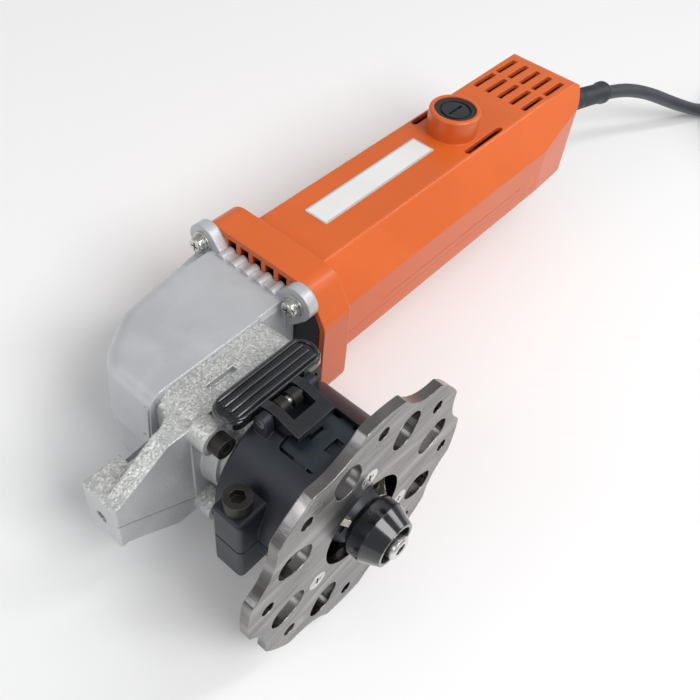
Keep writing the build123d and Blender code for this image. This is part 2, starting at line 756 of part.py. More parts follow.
with BuildPart() as bearing_box:
    with BuildSketch(at_y(seam_y)):
        with Locations((1.0, 0)):
            RectangleRounded(2 * box_half + 2.0, 2 * box_half, 8.5)
    extrude(amount=box_length)
    with BuildSketch(at_y(box_end_y - 1.0)):
        Circle(box_half - 3.0)
    extrude(amount=lug_length + 1.0, taper=6.0)
    with BuildSketch(at_y(box_end_y - 1.0)):
        with Locations(*box_screw_places):
            Circle(6.2)
    extrude(amount=lug_length + 1.0)
    with BuildSketch(at_y(lug_end_y)):
        Circle(neck_radius)
    extrude(amount=neck_end_y - lug_end_y)
    # end block of the arm
    with BuildSketch(at_y(seam_y)):
        with Locations((-(arm_block_start_x + arm_block_end_x) / 2, 0)):
            Rectangle(arm_block_end_x - arm_block_start_x, 2 * arm_half_height)
    extrude(amount=arm_block_end_y - seam_y)
    block_end_edges = bearing_box.edges().filter_by_position(Axis.X, arm_block_end_x - 0.1,
                                                             arm_block_end_x + 0.1)
    fillet(block_end_edges, 1.2)
    add(arm.part)
    with BuildSketch(at_x(arm_block_end_x)):
        with Locations(((seam_y + arm_block_end_y) / 2, 0)):
            Circle(side_hole_radius)
    extrude(amount=-side_hole_depth, mode=Mode.SUBTRACT)
    # cast recess on top
    with BuildSketch(at_z(box_half)):
        with Locations((4.5, 30.0)):
            Rectangle(13.0, 2.4)
    extrude(amount=-2.6, mode=Mode.SUBTRACT)
    # room for the gear, bearing seat, seal seat and open neck
    with BuildSketch(at_y(seam_y)):
        Circle(gear_pitch_radius + 3.0)
    extrude(amount=4.0, mode=Mode.SUBTRACT)
    with BuildSketch(at_y(seam_y)):
        Circle(spindle_bearing[1] / 2)
    extrude(amount=spindle_bearing_y + spindle_bearing[2] - seam_y, mode=Mode.SUBTRACT)
    with BuildSketch(at_y(seam_y)):
        Circle(seal_radius)
    extrude(amount=neck_end_y - seam_y, mode=Mode.SUBTRACT)
    with BuildSketch(at_y(neck_end_y)):
        Circle(15.5)
    extrude(amount=-12.0, mode=Mode.SUBTRACT)
    # screw holes with counterbores
    with BuildSketch(at_y(lug_end_y)):
        with Locations(*box_screw_places):
            Circle(box_screw_radius + screw_clear)
    extrude(amount=-(lug_end_y - seam_y), mode=Mode.SUBTRACT)
keep("bearing_box", bearing_box)

retainer_end = spindle_bearing_y - fit_gap
with BuildPart() as bearing_retainer:
    with BuildSketch(at_y(retainer_end - 3.0)):
        Circle(spindle_bearing[1] / 2)
        Circle(9.5, mode=Mode.SUBTRACT)
    extrude(amount=3.0)
keep("bearing_retainer", bearing_retainer)

keep("spindle_bearing", bearing(at_y(spindle_bearing_y), spindle_bearing))
keep("case_bearing", bearing(at_y(-9.0 - case_bearing[2]), case_bearing))

seal_start = spindle_bearing_y + spindle_bearing[2] + fit_gap
with BuildPart() as shaft_seal:
    with BuildSketch(at_y(seal_start)):
        Circle(seal_radius)
        Circle(8.0 + slip, mode=Mode.SUBTRACT)
    extrude(amount=4.0)
keep("shaft_seal", shaft_seal)

# ------------------------------------------------------------------ screws of the head
keep("bearing_box_screws",
     socket_screws(at_y(lug_end_y), box_screw_places, box_screw_radius, lug_end_y - seam_y + 7.5,
                   4.25, 5.0, 2.1))

ear_face_x = joint_x + ear_thickness
washer_thickness = 0.9
spring_washer_thickness = 1.2
pan_head_radius = 3.5
pan_head_height = 2.6
keep("case_flat_washers",
     ring_of(at_x(ear_face_x), case_screw_places, 4.6, case_screw_radius + 0.15, washer_thickness))
keep("case_spring_washers",
     ring_of(at_x(ear_face_x + washer_thickness), case_screw_places, 3.7, case_screw_radius + 0.15,
             spring_washer_thickness))
pan_seat_x = ear_face_x + washer_thickness + spring_washer_thickness
with BuildPart() as case_screws:
    with BuildSketch(at_x(pan_seat_x)):
        with Locations(*case_screw_places):
            Circle(case_screw_radius)
    extrude(amount=-17.0)
    with BuildSketch(at_x(pan_seat_x)):
        with Locations(*case_screw_places):
            Circle(pan_head_radius)
    extrude(amount=pan_head_height)
    fillet(case_screws.edges().filter_by_position(Axis.X, pan_seat_x + pan_head_height - 0.1,
                                                  pan_seat_x + pan_head_height + 0.1), 1.2)
    with BuildSketch(at_x(pan_seat_x + pan_head_height)):
        with Locations(*case_screw_places):
            Rectangle(3.8, 0.8)
            Rectangle(0.8, 3.8)
    extrude(amount=-1.5, mode=Mode.SUBTRACT)
keep("case_screws", case_screws)

# ------------------------------------------------------------------ spindle and bevel gear
gear_back_y = pinion_pitch_radius + 5.5
gear_star_far = pinion_pitch_radius + gear_gap_runout
gear_star_near = pinion_pitch_radius * gear_gap_start
with BuildPart() as bevel_gear:
    with BuildSketch(at_y(gear_star_far)):
        with BuildLine():
            far_star = gear_star(gear_teeth, gear_pitch_radius, gear_star_far, False)
            Polyline(*[(z, x) for x, z in far_star], close=True)
        make_face()
    with BuildSketch(at_y(gear_star_near)):
        with BuildLine():
            near_star = gear_star(gear_teeth, gear_pitch_radius, gear_star_near, False)
            Polyline(*[(z, x) for x, z in near_star], close=True)
        make_face()
    loft(ruled=True)
    with BuildSketch(at_y(gear_star_near - 1.0)):
        Circle(gear_pitch_radius + 0.6)
        Circle(gear_pitch_radius - gear_face, mode=Mode.SUBTRACT)
    extrude(amount=gear_back_y, mode=Mode.INTERSECT)
    with BuildSketch(at_y(gear_star_far)):
        Circle(gear_pitch_radius + 0.6)
    extrude(amount=gear_back_y - gear_star_far)
    with BuildSketch(at_y(gear_back_y)):
        Circle(9.0)
    extrude(amount=7.0)
    with BuildSketch(at_y(0)):
        Circle(5.0)
    extrude(amount=30.0, mode=Mode.SUBTRACT)
keep("bevel_gear", bevel_gear)

spindle_nose_y = neck_end_y + 4.0
spindle = turned([
    (-9.0 - case_bearing[2] + 0.2, -9.0, case_bearing[0] / 2 - journal_gap),
    (-9.0, gear_back_y + 7.2, 5.0),
    (gear_back_y + 7.2, spindle_bearing_y, 7.6),
    (spindle_bearing_y, spindle_bearing_y + spindle_bearing[2], spindle_bearing[0] / 2 - journal_gap),
    (spindle_bearing_y + spindle_bearing[2], neck_end_y - 6.0, 8.0),
    (neck_end_y - 6.0, spindle_nose_y, 6.0),
], Axis.Y)
keep("spindle", spindle)

# ------------------------------------------------------------------ cutter head
insert_count = 3
insert_size = 8.0
insert_thickness = 2.6
insert_radius = 11.8
insert_y = 89.0
insert_turn = 52.0
insert_screw_head_radius = 2.3
head_top_y = roller_start - 1.4


def insert_seat(index):
    """Plane through the spindle axis that an insert lies on: local x is outwards, local y is along Y."""
    turn = math.radians(insert_turn + 360.0 * index / insert_count)
    return Plane(origin=(0, 0, 0), x_dir=(math.sin(turn), 0, math.cos(turn)),
                 z_dir=(-math.cos(turn), 0, math.sin(turn)))


with BuildPart() as cutter_head:
    with BuildSketch(Plane.XY):
        with BuildLine():
            Polyline((6.0, neck_end_y - 5.0), (10.5, neck_end_y - 5.0), (10.5, neck_end_y + 3.0),
                     (14.5, neck_end_y + 8.0), (14.5, insert_y - 3.0), (9.6, head_top_y),
                     (roller_bolt_radius, head_top_y), (roller_bolt_radius, spindle_nose_y),
                     (6.0, spindle_nose_y), close=True)
        make_face()
    revolve(axis=Axis.Y)
    for index in range(insert_count):
        seat = insert_seat(index)
        with BuildSketch(seat):
            with Locations((insert_radius, insert_y)):
                Rectangle(insert_size, insert_size, rotation=45)
        extrude(amount=insert_thickness, mode=Mode.SUBTRACT)
        with BuildSketch(seat):
            with Locations((insert_radius + 3.0, insert_y + 3.0)):
                Rectangle(insert_size, insert_size, rotation=45)
        extrude(amount=-4.5, mode=Mode.SUBTRACT)
        with BuildSketch(seat):
            with Locations((insert_radius, insert_y)):
                Circle(insert_screw_head_radius + 0.2)
        extrude(amount=-4.5, mode=Mode.SUBTRACT)
keep("cutter_head", cutter_head)

with BuildPart() as cutter_inserts:
    for index in range(insert_count):
        seat = insert_seat(index)
        with BuildSketch(seat):
            with Locations((insert_radius, insert_y)):
                Rectangle(insert_size, insert_size, rotation=45)
                Circle(1.6, mode=Mode.SUBTRACT)
        extrude(amount=insert_thickness)
keep("cutter_inserts", cutter_inserts)

with BuildPart() as insert_screws:
    for index in range(insert_count):
        seat = insert_seat(index)
        with BuildSketch(seat.offset(-0.2)):
            with Locations((insert_radius, insert_y)):
                Circle(1.5)
        extrude(amount=insert_thickness + 0.2)
        with BuildSketch(seat.offset(-0.2)):
            with Locations((insert_radius, insert_y)):
                Circle(insert_screw_head_radius)
                RegularPolygon(1.0, 6, mode=Mode.SUBTRACT)
        extrude(amount=-1.0)
keep("insert_screws", insert_screws)

# ------------------------------------------------------------------ guide roller
roller_bearing_radius = 8.0
roller_lip_y = roller_start + 5.4
cup_floor_y = roller_end - 4.2
with BuildPart() as guide_roller:
    with BuildSketch(Plane.XY):
        with BuildLine():
            Polyline((roller_bearing_radius, roller_start), (roller_radius - 0.6, roller_start),
                     (roller_radius, roller_start + 0.6), (roller_radius, roller_lip_y + 0.8),
                     (roller_nose_radius, roller_end), (roller_nose_radius - 1.4, roller_end),
                     (roller_nose_radius - 2.2, cup_floor_y), (4.6, cup_floor_y), (4.6, roller_lip_y),
                     (roller_bearing_radius, roller_lip_y), close=True)
        make_face()
    revolve(axis=Axis.Y)
keep("guide_roller", guide_roller)

roller_bearing_sizes = (2 * (roller_bolt_radius + slip), 2 * roller_bearing_radius, 5.0)
keep("roller_bearing", bearing(at_y(roller_lip_y - 5.0), roller_bearing_sizes))

bolt_head_y = cup_floor_y + loose
with BuildPart() as roller_bolt:
    with BuildSketch(at_y(spindle_nose_y + 2.0)):
        Circle(roller_bolt_radius)
    extrude(amount=bolt_head_y - spindle_nose_y - 2.0)
    with BuildSketch(at_y(bolt_head_y)):
        Circle(5.8)
    extrude(amount=1.0)
    with BuildSketch(at_y(bolt_head_y + 1.0)):
        Circle(4.8)
    extrude(amount=5.2)
    chamfer(roller_bolt.edges().sort_by(Axis.Y)[-1], 0.7)
    with BuildSketch(at_y(bolt_head_y + 6.2)):
        RegularPolygon(2.6, 6)
    extrude(amount=-3.2, mode=Mode.SUBTRACT)
keep("roller_bolt", roller_bolt)

# ------------------------------------------------------------------ clamp collar
window_half_width = 13.0
window_end = 81.0
split_gap = 1.0
lever_pin_y = 57.0
lever_pin_z = 33.6
lever_pin_radius = 2.0
lug_half_width = 3.0
lug_inner_x = 9.4
lug_outer_x = 13.0
clip_start = ring_start + ring_length + loose
clip_thickness = 1.2

with BuildPart() as clamp_collar:
    with BuildSketch(at_y(collar_start)):
        Circle(collar_radius)
    extrude(amount=collar_end - collar_start)
    fillet(clamp_collar.edges().filter_by(GeomType.CIRCLE), 1.0)
    with BuildSketch(at_y(ear_start)):
        with Locations((-(ear_x + 20.0) / 2, 0)):
            RectangleRounded(ear_x - 20.0, 2 * ear_half_height, 1.5)
    extrude(amount=ear_length)
    fillet(clamp_collar.edges().filter_by_position(Axis.X, ear_x - 0.1, ear_x + 0.1)
           .filter_by(Axis.Z), 2.0)
    # lugs that carry the lever's pin
    with BuildSketch(at_x(0)):
        with Locations((lever_pin_y, lever_pin_z)):
            Circle(lug_half_width)
        with Locations((lever_pin_y, collar_radius - 4.0)):
            Rectangle(2 * lug_half_width, 4.0)
        make_hull()
    extrude(amount=lug_outer_x, both=True)
    with BuildSketch(at_z(collar_radius - 1.8)):
        with Locations((0, (collar_start + neck_end_y) / 2)):
            Rectangle(2 * lug_inner_x, neck_end_y - collar_start + 4.0)
    extrude(amount=12.0, mode=Mode.SUBTRACT)
    with BuildSketch(at_x(-lug_outer_x)):
        with Locations((lever_pin_y, lever_pin_z)):
            Circle(lever_pin_radius)
    extrude(amount=2 * lug_outer_x, mode=Mode.SUBTRACT)
    # bore on the neck, and the room for the detent ring
    with BuildSketch(at_y(collar_start)):
        Circle(neck_radius)
    extrude(amount=collar_end - collar_start, mode=Mode.SUBTRACT)
    with BuildSketch(at_y(neck_end_y + loose)):
        Circle(ring_radius + slip)
    extrude(amount=collar_end, mode=Mode.SUBTRACT)
    # window over the ring
    with BuildSketch(at_z(ring_bore)):
        with Locations((0, (neck_end_y + 0.4 + window_end) / 2)):
            RectangleRounded(2 * window_half_width, window_end - neck_end_y - 0.4, 2.5)
    extrude(amount=12.0, mode=Mode.SUBTRACT)
    # clamp slit and bolt hole
    with BuildSketch(at_y(collar_start)):
        with Locations((-(ear_x + neck_radius) / 2, 0)):
            Rectangle(ear_x - neck_radius + 4.0, split_gap)
    extrude(amount=collar_end - collar_start, mode=Mode.SUBTRACT)
    with BuildSketch(at_z(ear_half_height)):
        with Locations((clamp_bolt_x, ear_start + ear_length / 2)):
            Circle(clamp_bolt_radius + screw_clear)
    extrude(amount=-ear_half_height, mode=Mode.SUBTRACT)
    with BuildSketch(at_z(0)):
        with Locations((clamp_bolt_x, ear_start + ear_length / 2)):
            Circle(clamp_bolt_radius)
    extrude(amount=-ear_half_height, mode=Mode.SUBTRACT)
keep("clamp_collar", clamp_collar)

keep("clamp_bolt",
     socket_screws(at_z(ear_half_height), [(clamp_bolt_x, ear_start + ear_length / 2)],
                   clamp_bolt_radius, 2 * ear_half_height - 3.0, 5.0, 6.0, 2.9))

with BuildPart() as ring_clip:
    with BuildSketch(at_y(clip_start)):
        Circle(ring_radius + slip)
        Circle(ring_radius - 2.4, mode=Mode.SUBTRACT)
        with Locations((0, -ring_radius)):
            Rectangle(9.0, 8.0, mode=Mode.SUBTRACT)
    extrude(amount=clip_thickness)
keep("ring_clip", ring_clip)

# ------------------------------------------------------------------ detent ring
key_count = 3
key_width = 4.0
key_height = 1.2
with BuildPart() as detent_ring:
    with BuildSketch(at_y(ring_start)):
        Circle(ring_radius)
        Circle(ring_bore, mode=Mode.SUBTRACT)
        with PolarLocations(ring_bore, key_count, start_angle=90):
            Rectangle(2 * (key_height + slip) + 0.2, key_width + 2 * slip, mode=Mode.SUBTRACT)
    extrude(amount=ring_length)
    for start, length in ((ring_start, 6.4), (ring_start + ring_length, -6.0)):
        with BuildSketch(at_y(start)):
            with PolarLocations(ring_radius, notch_count, start_angle=90):
                Rectangle(2 * notch_depth, notch_width)
        extrude(amount=length, mode=Mode.SUBTRACT)
keep("detent_ring", detent_ring)

# ------------------------------------------------------------------ guide plate and its sleeve
sleeve_bore = 20.5
sleeve_start = neck_end_y + 2.5
sleeve_flange = 2.6
sleeve_flange_radius = 29.5
plate_screw_angles = [math.radians(120 * index) for index in range(3)]
plate_screw_places = [(plate_screw_circle * math.sin(angle), plate_screw_circle * math.cos(angle))
                      for angle in plate_screw_angles]
with BuildPart() as plate_sleeve:
    with BuildSketch(at_y(sleeve_start)):
        Circle(ring_bore - slip)
        Circle(sleeve_bore, mode=Mode.SUBTRACT)
    extrude(amount=plate_y - sleeve_start)
    with BuildSketch(at_y(plate_y)):
        Circle(sleeve_flange_radius)
        Circle(sleeve_bore, mode=Mode.SUBTRACT)
    extrude(amount=-sleeve_flange)
    with BuildSketch(at_y(sleeve_start)):
        with PolarLocations(ring_bore, key_count, start_angle=90):
            Rectangle(2 * key_height, key_width)
        Circle(sleeve_bore, mode=Mode.SUBTRACT)
    extrude(amount=ring_start + ring_length - sleeve_start - 2.4)
    with BuildSketch(at_y(plate_y)):
        with Locations(*plate_screw_places):
            Circle(plate_screw_radius)
    extrude(amount=-sleeve_flange, mode=Mode.SUBTRACT)
keep("plate_sleeve", plate_sleeve)

scallop_radius = 24.0
scallop_depth = 4.5
lobe_pitch = 360.0 / lobe_count
plate_face_y = plate_y + plate_thickness
with BuildPart() as guide_plate:
    with BuildSketch(at_y(plate_y)):
        Circle(plate_radius)
        with PolarLocations(plate_radius - scallop_depth + scallop_radius, lobe_count,
                            start_angle=90 + plate_phase + lobe_pitch / 2):
            Circle(scallop_radius, mode=Mode.SUBTRACT)
        fillet(vertices(), radius=2.5)
        Circle(centre_hole_radius, mode=Mode.SUBTRACT)
        with PolarLocations(small_hole_circle, lobe_count, start_angle=90 + plate_phase):
            Circle(small_hole_radius, mode=Mode.SUBTRACT)
        with PolarLocations(sight_circle, lobe_count, start_angle=90 + plate_phase + lobe_pitch / 2):
            SlotOverall(sight_length, sight_width, mode=Mode.SUBTRACT)
        with Locations(*plate_screw_places):
            Circle(plate_screw_radius + 0.2, mode=Mode.SUBTRACT)
    extrude(amount=plate_thickness)
    for place in plate_screw_places:
        with BuildSketch(at_y(plate_face_y)):
            with Locations(place):
                Circle(plate_screw_head + slip)
        extrude(amount=-(plate_screw_head - plate_screw_radius), taper=45, mode=Mode.SUBTRACT)
keep("guide_plate", guide_plate)

with BuildPart() as plate_screws:
    for place in plate_screw_places:
        with BuildSketch(at_y(plate_face_y)):
            with Locations(place):
                Circle(plate_screw_head)
        extrude(amount=-(plate_screw_head - plate_screw_radius), taper=45)
    with BuildSketch(at_y(plate_face_y - 1.0)):
        with Locations(*plate_screw_places):
            Circle(plate_screw_radius)
    extrude(amount=-(plate_thickness + sleeve_flange - 1.2))
    with BuildSketch(at_y(plate_face_y)):
        with Locations(*plate_screw_places):
            Rectangle(4.2, 0.9)
            Rectangle(0.9, 4.2)
    extrude(amount=-1.3, mode=Mode.SUBTRACT)
keep("plate_screws", plate_screws)

# ------------------------------------------------------------------ lock lever
pad_x = (-23.5, 21.0)
pad_y = (40.5, 53.4)
pad_bottom = 32.0
pad_top = 35.6
arm_inner_x = 5.4
arm_outer_x = 9.0
pawl_start = ring_start + 1.2
pawl_end = ring_start + 5.8
pawl_half_width = 2.9
pawl_foot = ring_radius + loose
with BuildPart() as lock_lever:
    with BuildSketch(at_z(pad_bottom)):
        with Locations(((pad_x[0] + pad_x[1]) / 2, (pad_y[0] + pad_y[1]) / 2)):
            RectangleRounded(pad_x[1] - pad_x[0], pad_y[1] - pad_y[0], 4.5)
    extrude(amount=pad_top - pad_bottom)
    fillet(lock_lever.edges().group_by(Axis.Z)[-1], 1.0)
    # raised grip ribs along the pad
    with BuildSketch(at_z(pad_top)):
        with Locations(((pad_x[0] + pad_x[1]) / 2, (pad_y[0] + pad_y[1]) / 2 - 0.4)):
            with GridLocations(1, 3.0, 1, 4):
                SlotOverall(pad_x[1] - pad_x[0] - 6.0, 1.6)
    extrude(amount=0.9)
    # two arms past the pin, joined by the bar that carries the pawl
    with BuildSketch(at_x(-arm_outer_x)):
        with BuildLine():
            Polyline((pad_y[1] - 3.0, pad_bottom + 0.1), (lever_pin_y - 3.4, pad_bottom - 1.4),
                     (pawl_end, pawl_foot + 2.6), (pawl_end, pawl_foot + 5.4),
                     (lever_pin_y + 3.6, lever_pin_z + 3.4), (lever_pin_y - 1.0, lever_pin_z + 3.4),
                     (pad_y[1] - 3.0, pad_top - 0.4), close=True)
        make_face()
    extrude(amount=2 * arm_outer_x)
    with BuildSketch(at_z(pawl_foot - 4.0)):
        with Locations((0, (lever_pin_y - 3.8 + pawl_start - 0.8) / 2)):
            Rectangle(2 * arm_inner_x, pawl_start - 0.8 - lever_pin_y + 3.8)
    extrude(amount=16.0, mode=Mode.SUBTRACT)
    with BuildSketch(at_z(pawl_foot)):
        with Locations((0, (pawl_start + pawl_end) / 2)):
            Rectangle(2 * pawl_half_width, pawl_end - pawl_start)
    extrude(amount=3.6)
    with BuildSketch(at_x(-arm_outer_x)):
        with Locations((lever_pin_y, lever_pin_z)):
            Circle(lever_pin_radius + slip)
    extrude(amount=2 * arm_outer_x, mode=Mode.SUBTRACT)
keep("lock_lever", lock_lever)

with BuildPart() as lever_pin:
    with BuildSketch(at_x(-lug_outer_x)):
        with Locations((lever_pin_y, lever_pin_z)):
            Circle(lever_pin_radius)
    extrude(amount=2 * lug_outer_x)
keep("lever_pin", lever_pin)

with BuildPart() as lever_spring:
    for side in (1, -1):
        with BuildSketch(at_x(side * 1.0)):
            with Locations((lever_pin_y, lever_pin_z)):
                Circle(lever_pin_radius + 1.2)
                Circle(lever_pin_radius + 0.2, mode=Mode.SUBTRACT)
        extrude(amount=side * 3.6)
    with BuildSketch(at_x(-1.2)):
        with Locations((lever_pin_y, lever_pin_z - lever_pin_radius - 0.7)):
            Rectangle(4.0, 1.0)
    extrude(amount=2.4)
keep("lever_spring", lever_spring)

# ------------------------------------------------------------------ switch
slider_y = -barrel_width / 2
with BuildPart() as switch_slider:
    with BuildSketch(at_y(slider_y - 0.3)):
        with Locations((-knob_x, 0)):
            RectangleRounded(18.0, 12.0, 2.0)
    extrude(amount=-4.2)
    fillet(switch_slider.edges().group_by(Axis.Y)[0], 1.2)
    with BuildSketch(at_y(slider_y - 4.5)):
        with Locations((-knob_x, 0)):
            with GridLocations(3.2, 1, 4, 1):
                Rectangle(1.4, 9.0)
    extrude(amount=-0.8)
    with BuildSketch(at_y(slider_y - 0.4)):
        with Locations((-knob_x, 0)):
            Rectangle(6.0, 2 * switch_slot_half_height - 0.8)
    extrude(amount=wall + 1.0)
keep("switch_slider", switch_slider)

rod_y = slider_y + wall + 0.6
switch_front_x = barrel_x - 9.0
with BuildPart() as switch_rod:
    with BuildSketch(at_y(rod_y)):
        with Locations((-(knob_x + switch_front_x) / 2, 0)):
            Rectangle(knob_x + 3.0 - switch_front_x - 1.0, 5.0)
    extrude(amount=1.4)
keep("switch_rod", switch_rod)

with BuildPart() as switch_block:
    with BuildSketch(at_x(switch_front_x)):
        with Locations((-16.0, 0)):
            RectangleRounded(14.0, 18.0, 1.0)
    extrude(amount=-22.0)
    with BuildSketch(at_x(switch_front_x)):
        with Locations((rod_y + 5.0, 0)):
            Rectangle(5.0, 4.0)
    extrude(amount=3.0)
keep("switch_block", switch_block)

with BuildPart() as terminal_block:
    with BuildSketch(at_x(barrel_x - 16.0)):
        with Locations((12.0, -8.0)):
            RectangleRounded(14.0, 10.0, 1.0)
    extrude(amount=-18.0)
keep("terminal_block", terminal_block)

# ------------------------------------------------------------------ laying the tool on the floor
def lowest(shape, up):
    """The lowest point of a shape for a given upward direction."""
    points = [edge @ (step / 40) for edge in shape.edges() for step in range(41)]
    return min(points, key=lambda point: point.dot(up))


feet_pieces = (pieces["guide_plate"], pieces["motor_housing"], pieces["motor_housing"])
foot_zones = ((Axis.Y, plate_y - 1, plate_face_y), (Axis.Z, -boss_top - 0.1, -boss_top + 2),
              (Axis.X, flange_x, joint_x))
foot_edges = [Compound(children=[Edge(edge.wrapped) for edge in
                                 piece.edges().filter_by_position(axis, low, high)])
              for piece, (axis, low, high) in zip(feet_pieces, foot_zones)]
up = Vector(0, 0, 1)
for attempt in range(4):
    plate_foot, boss_foot_point, flange_foot = [lowest(edges, up) for edges in foot_edges]
    up = (plate_foot - flange_foot).cross(boss_foot_point - flange_foot).normalized()
    if up.Z < 0:
        up = up * -1
floor = Plane(origin=flange_foot, x_dir=Vector(1, 0, 0) - up * up.X, z_dir=up)
pieces = {name: floor.to_local_coords(piece) for name, piece in pieces.items()}
box = Compound(children=[piece.moved(Location()) for piece in pieces.values()]).bounding_box()
row_origin = Vector((box.min.X + box.max.X) / 2, (box.min.Y + box.max.Y) / 2, box.min.Z)
pieces = {name: piece.moved(Location(row_origin * -1)) for name, piece in pieces.items()}


def in_row(x, y, z):
    """A point given in tool axes, on the lying tool."""
    return floor.to_local_coords(Vector(x, y, z)) - row_origin


# ------------------------------------------------------------------ cord, in the lying frame
gland_root = in_row(tail_x + 3.0, 0, gland_z)
cord_points = [
    (-219.5, -23.0, 45.1),
    (-256.0, -13.1, 38.5),
    (-305.0, 5.9, 17.5),
    (-341.0, 17.4, cord_radius),
    (-382.7, 32.2, cord_radius),
]
coil_centre = (-362.0, 75.4)
coil_radius = 44.0
coil_half_width = 8.0
coil_height = 32.0


def on_coil(angle, radius, z):
    """A point beside the coil's centre, by its angle in degrees."""
    turn = math.radians(angle)
    return (coil_centre[0] + radius * math.cos(turn), coil_centre[1] + radius * math.sin(turn), z)


end_points = [on_coil(235, 44.0, 27.5), on_coil(213, 44.0, 30.0), on_coil(190, 46.0, 36.0),
              on_coil(170, 50.0, 39.5)]


def cord_path(points):
    """Straight runs joined by tangent arcs as large as the runs allow. Prints the radii."""
    corners = [Vector(*point) for point in points]
    radii = []
    for before, corner, after in zip(corners, corners[1:], corners[2:]):
        first, second = corner - before, after - corner
        shorter = min(first.length, second.length)
        radii.append(0.45 * shorter / math.tan(math.radians(first.get_angle(second)) / 2))
    print("cord radii", [round(radius) for radius in radii])
    return FilletPolyline(*corners, radius=radii)


def cord_tube(points):
    with BuildPart() as tube:
        with BuildLine() as route:
            cord_path(points)
        start = Vector(*points[0])
        with BuildSketch(Plane(origin=start, z_dir=Vector(*points[1]) - start)):
            Circle(cord_radius)
        sweep(path=route.line)
    return tube


with BuildPart() as strain_relief:
    boot_tip = Vector(*cord_points[0])
    tip_direction = Vector(*cord_points[1]) - boot_tip
    root_direction = gland_root - in_row(tail_x + 4.0, 0, gland_z)
    with BuildSketch(Plane(origin=gland_root, z_dir=root_direction)):
        Circle(boot_root_radius)
    with BuildSketch(Plane(origin=gland_root + root_direction * 12, z_dir=root_direction)):
        Circle(boot_root_radius)
    with BuildSketch(Plane(origin=boot_tip, z_dir=tip_direction)):
        Circle(boot_tip_radius)
    loft()
    with BuildSketch(Plane(origin=boot_tip, z_dir=tip_direction)):
        Circle(cord_radius)
    extrude(amount=-2.0, mode=Mode.SUBTRACT)

power_cord = cord_tube([tuple(boot_tip)] + cord_points[1:])
cord_end = cord_tube(end_points)

with BuildPart() as cord_coil:
    with BuildSketch(Plane(origin=(coil_centre[0], coil_centre[1], 0))):
        Circle(coil_radius + coil_half_width)
        Circle(coil_radius - coil_half_width, mode=Mode.SUBTRACT)
    extrude(amount=coil_height)
    fillet(cord_coil.edges(), cord_radius - 0.2)

plug_heading = Vector(end_points[-1][0] - end_points[-2][0], end_points[-1][1] - end_points[-2][1], 0)
plug_length = 36.0
with BuildPart() as plug_body:
    plug_plane = Plane(origin=end_points[-1], x_dir=Vector(0, 0, 1), z_dir=plug_heading)
    with BuildSketch(plug_plane):
        Circle(5.4)
    with BuildSketch(plug_plane.offset(14.0)):
        RectangleRounded(14.0, 25.0, 4.0)
    loft()
    with BuildSketch(plug_plane.offset(14.0)):
        RectangleRounded(14.0, 25.0, 4.0)
    extrude(amount=plug_length - 14.0)

with BuildPart() as plug_pins:
    with BuildSketch(plug_plane.offset(plug_length)):
        with Locations((0, 6.35), (0, -6.35)):
            Rectangle(6.3, 1.5)
    extrude(amount=17.0)

pieces.update(strain_relief=strain_relief.part, power_cord=power_cord.part, cord_coil=cord_coil.part,
              cord_end=cord_end.part, plug_body=plug_body.part, plug_pins=plug_pins.part)

# ------------------------------------------------------------------ writing the parts
for name, piece in pieces.items():
    piece.label = name
    export_step(piece, f"parts/{name}.step")
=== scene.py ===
# %% [markdown]
# # A hand-held edge beveller
#
# The tool is a small corded grinder with an angled head. A black roller guides it along a plate's
# edge, a cutter behind the roller planes the bevel, and a scalloped steel plate rests on the work.
# The solid parts come from the CAD model as a fixed frame. This script gives them their finishes
# and adds what a CAD solid can't show well: the cord, the soft rubber sleeve, the lever's beads,
# the cast arrow and the tie round the cord.

# %% Load the frame
import json
import math
import bpy
from mathutils import Matrix, Vector

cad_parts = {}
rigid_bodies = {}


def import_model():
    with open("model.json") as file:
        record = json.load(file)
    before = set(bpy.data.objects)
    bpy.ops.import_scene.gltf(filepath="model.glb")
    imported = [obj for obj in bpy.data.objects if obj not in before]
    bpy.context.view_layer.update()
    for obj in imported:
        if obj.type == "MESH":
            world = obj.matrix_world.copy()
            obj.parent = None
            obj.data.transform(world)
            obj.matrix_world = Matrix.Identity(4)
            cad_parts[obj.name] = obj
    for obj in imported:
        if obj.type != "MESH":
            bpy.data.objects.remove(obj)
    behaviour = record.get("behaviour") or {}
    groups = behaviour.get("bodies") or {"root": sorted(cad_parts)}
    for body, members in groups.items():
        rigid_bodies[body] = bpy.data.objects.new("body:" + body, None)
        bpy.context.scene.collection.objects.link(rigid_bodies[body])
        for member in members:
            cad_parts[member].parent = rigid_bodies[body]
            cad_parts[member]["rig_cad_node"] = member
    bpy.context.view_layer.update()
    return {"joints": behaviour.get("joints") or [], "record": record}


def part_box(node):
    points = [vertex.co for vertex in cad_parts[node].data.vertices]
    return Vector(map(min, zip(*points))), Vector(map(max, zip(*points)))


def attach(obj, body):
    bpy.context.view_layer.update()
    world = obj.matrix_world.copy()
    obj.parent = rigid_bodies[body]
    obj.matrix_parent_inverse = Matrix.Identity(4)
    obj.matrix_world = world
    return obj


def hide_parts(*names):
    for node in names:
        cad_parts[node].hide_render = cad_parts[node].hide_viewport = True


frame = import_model()
MM = 0.001

# %% [markdown]
# ## The tool's own axes
#
# The tool lies tilted on three feet, so its motor and its spindle aren't in line with the floor.
# Sizes are easier to read in the tool's own axes: x along the motor to the head, y along the
# spindle to the plate, z up out of the housing's top. Both axes are already in the frame as joints,
# so the turn is read from them and not typed again.

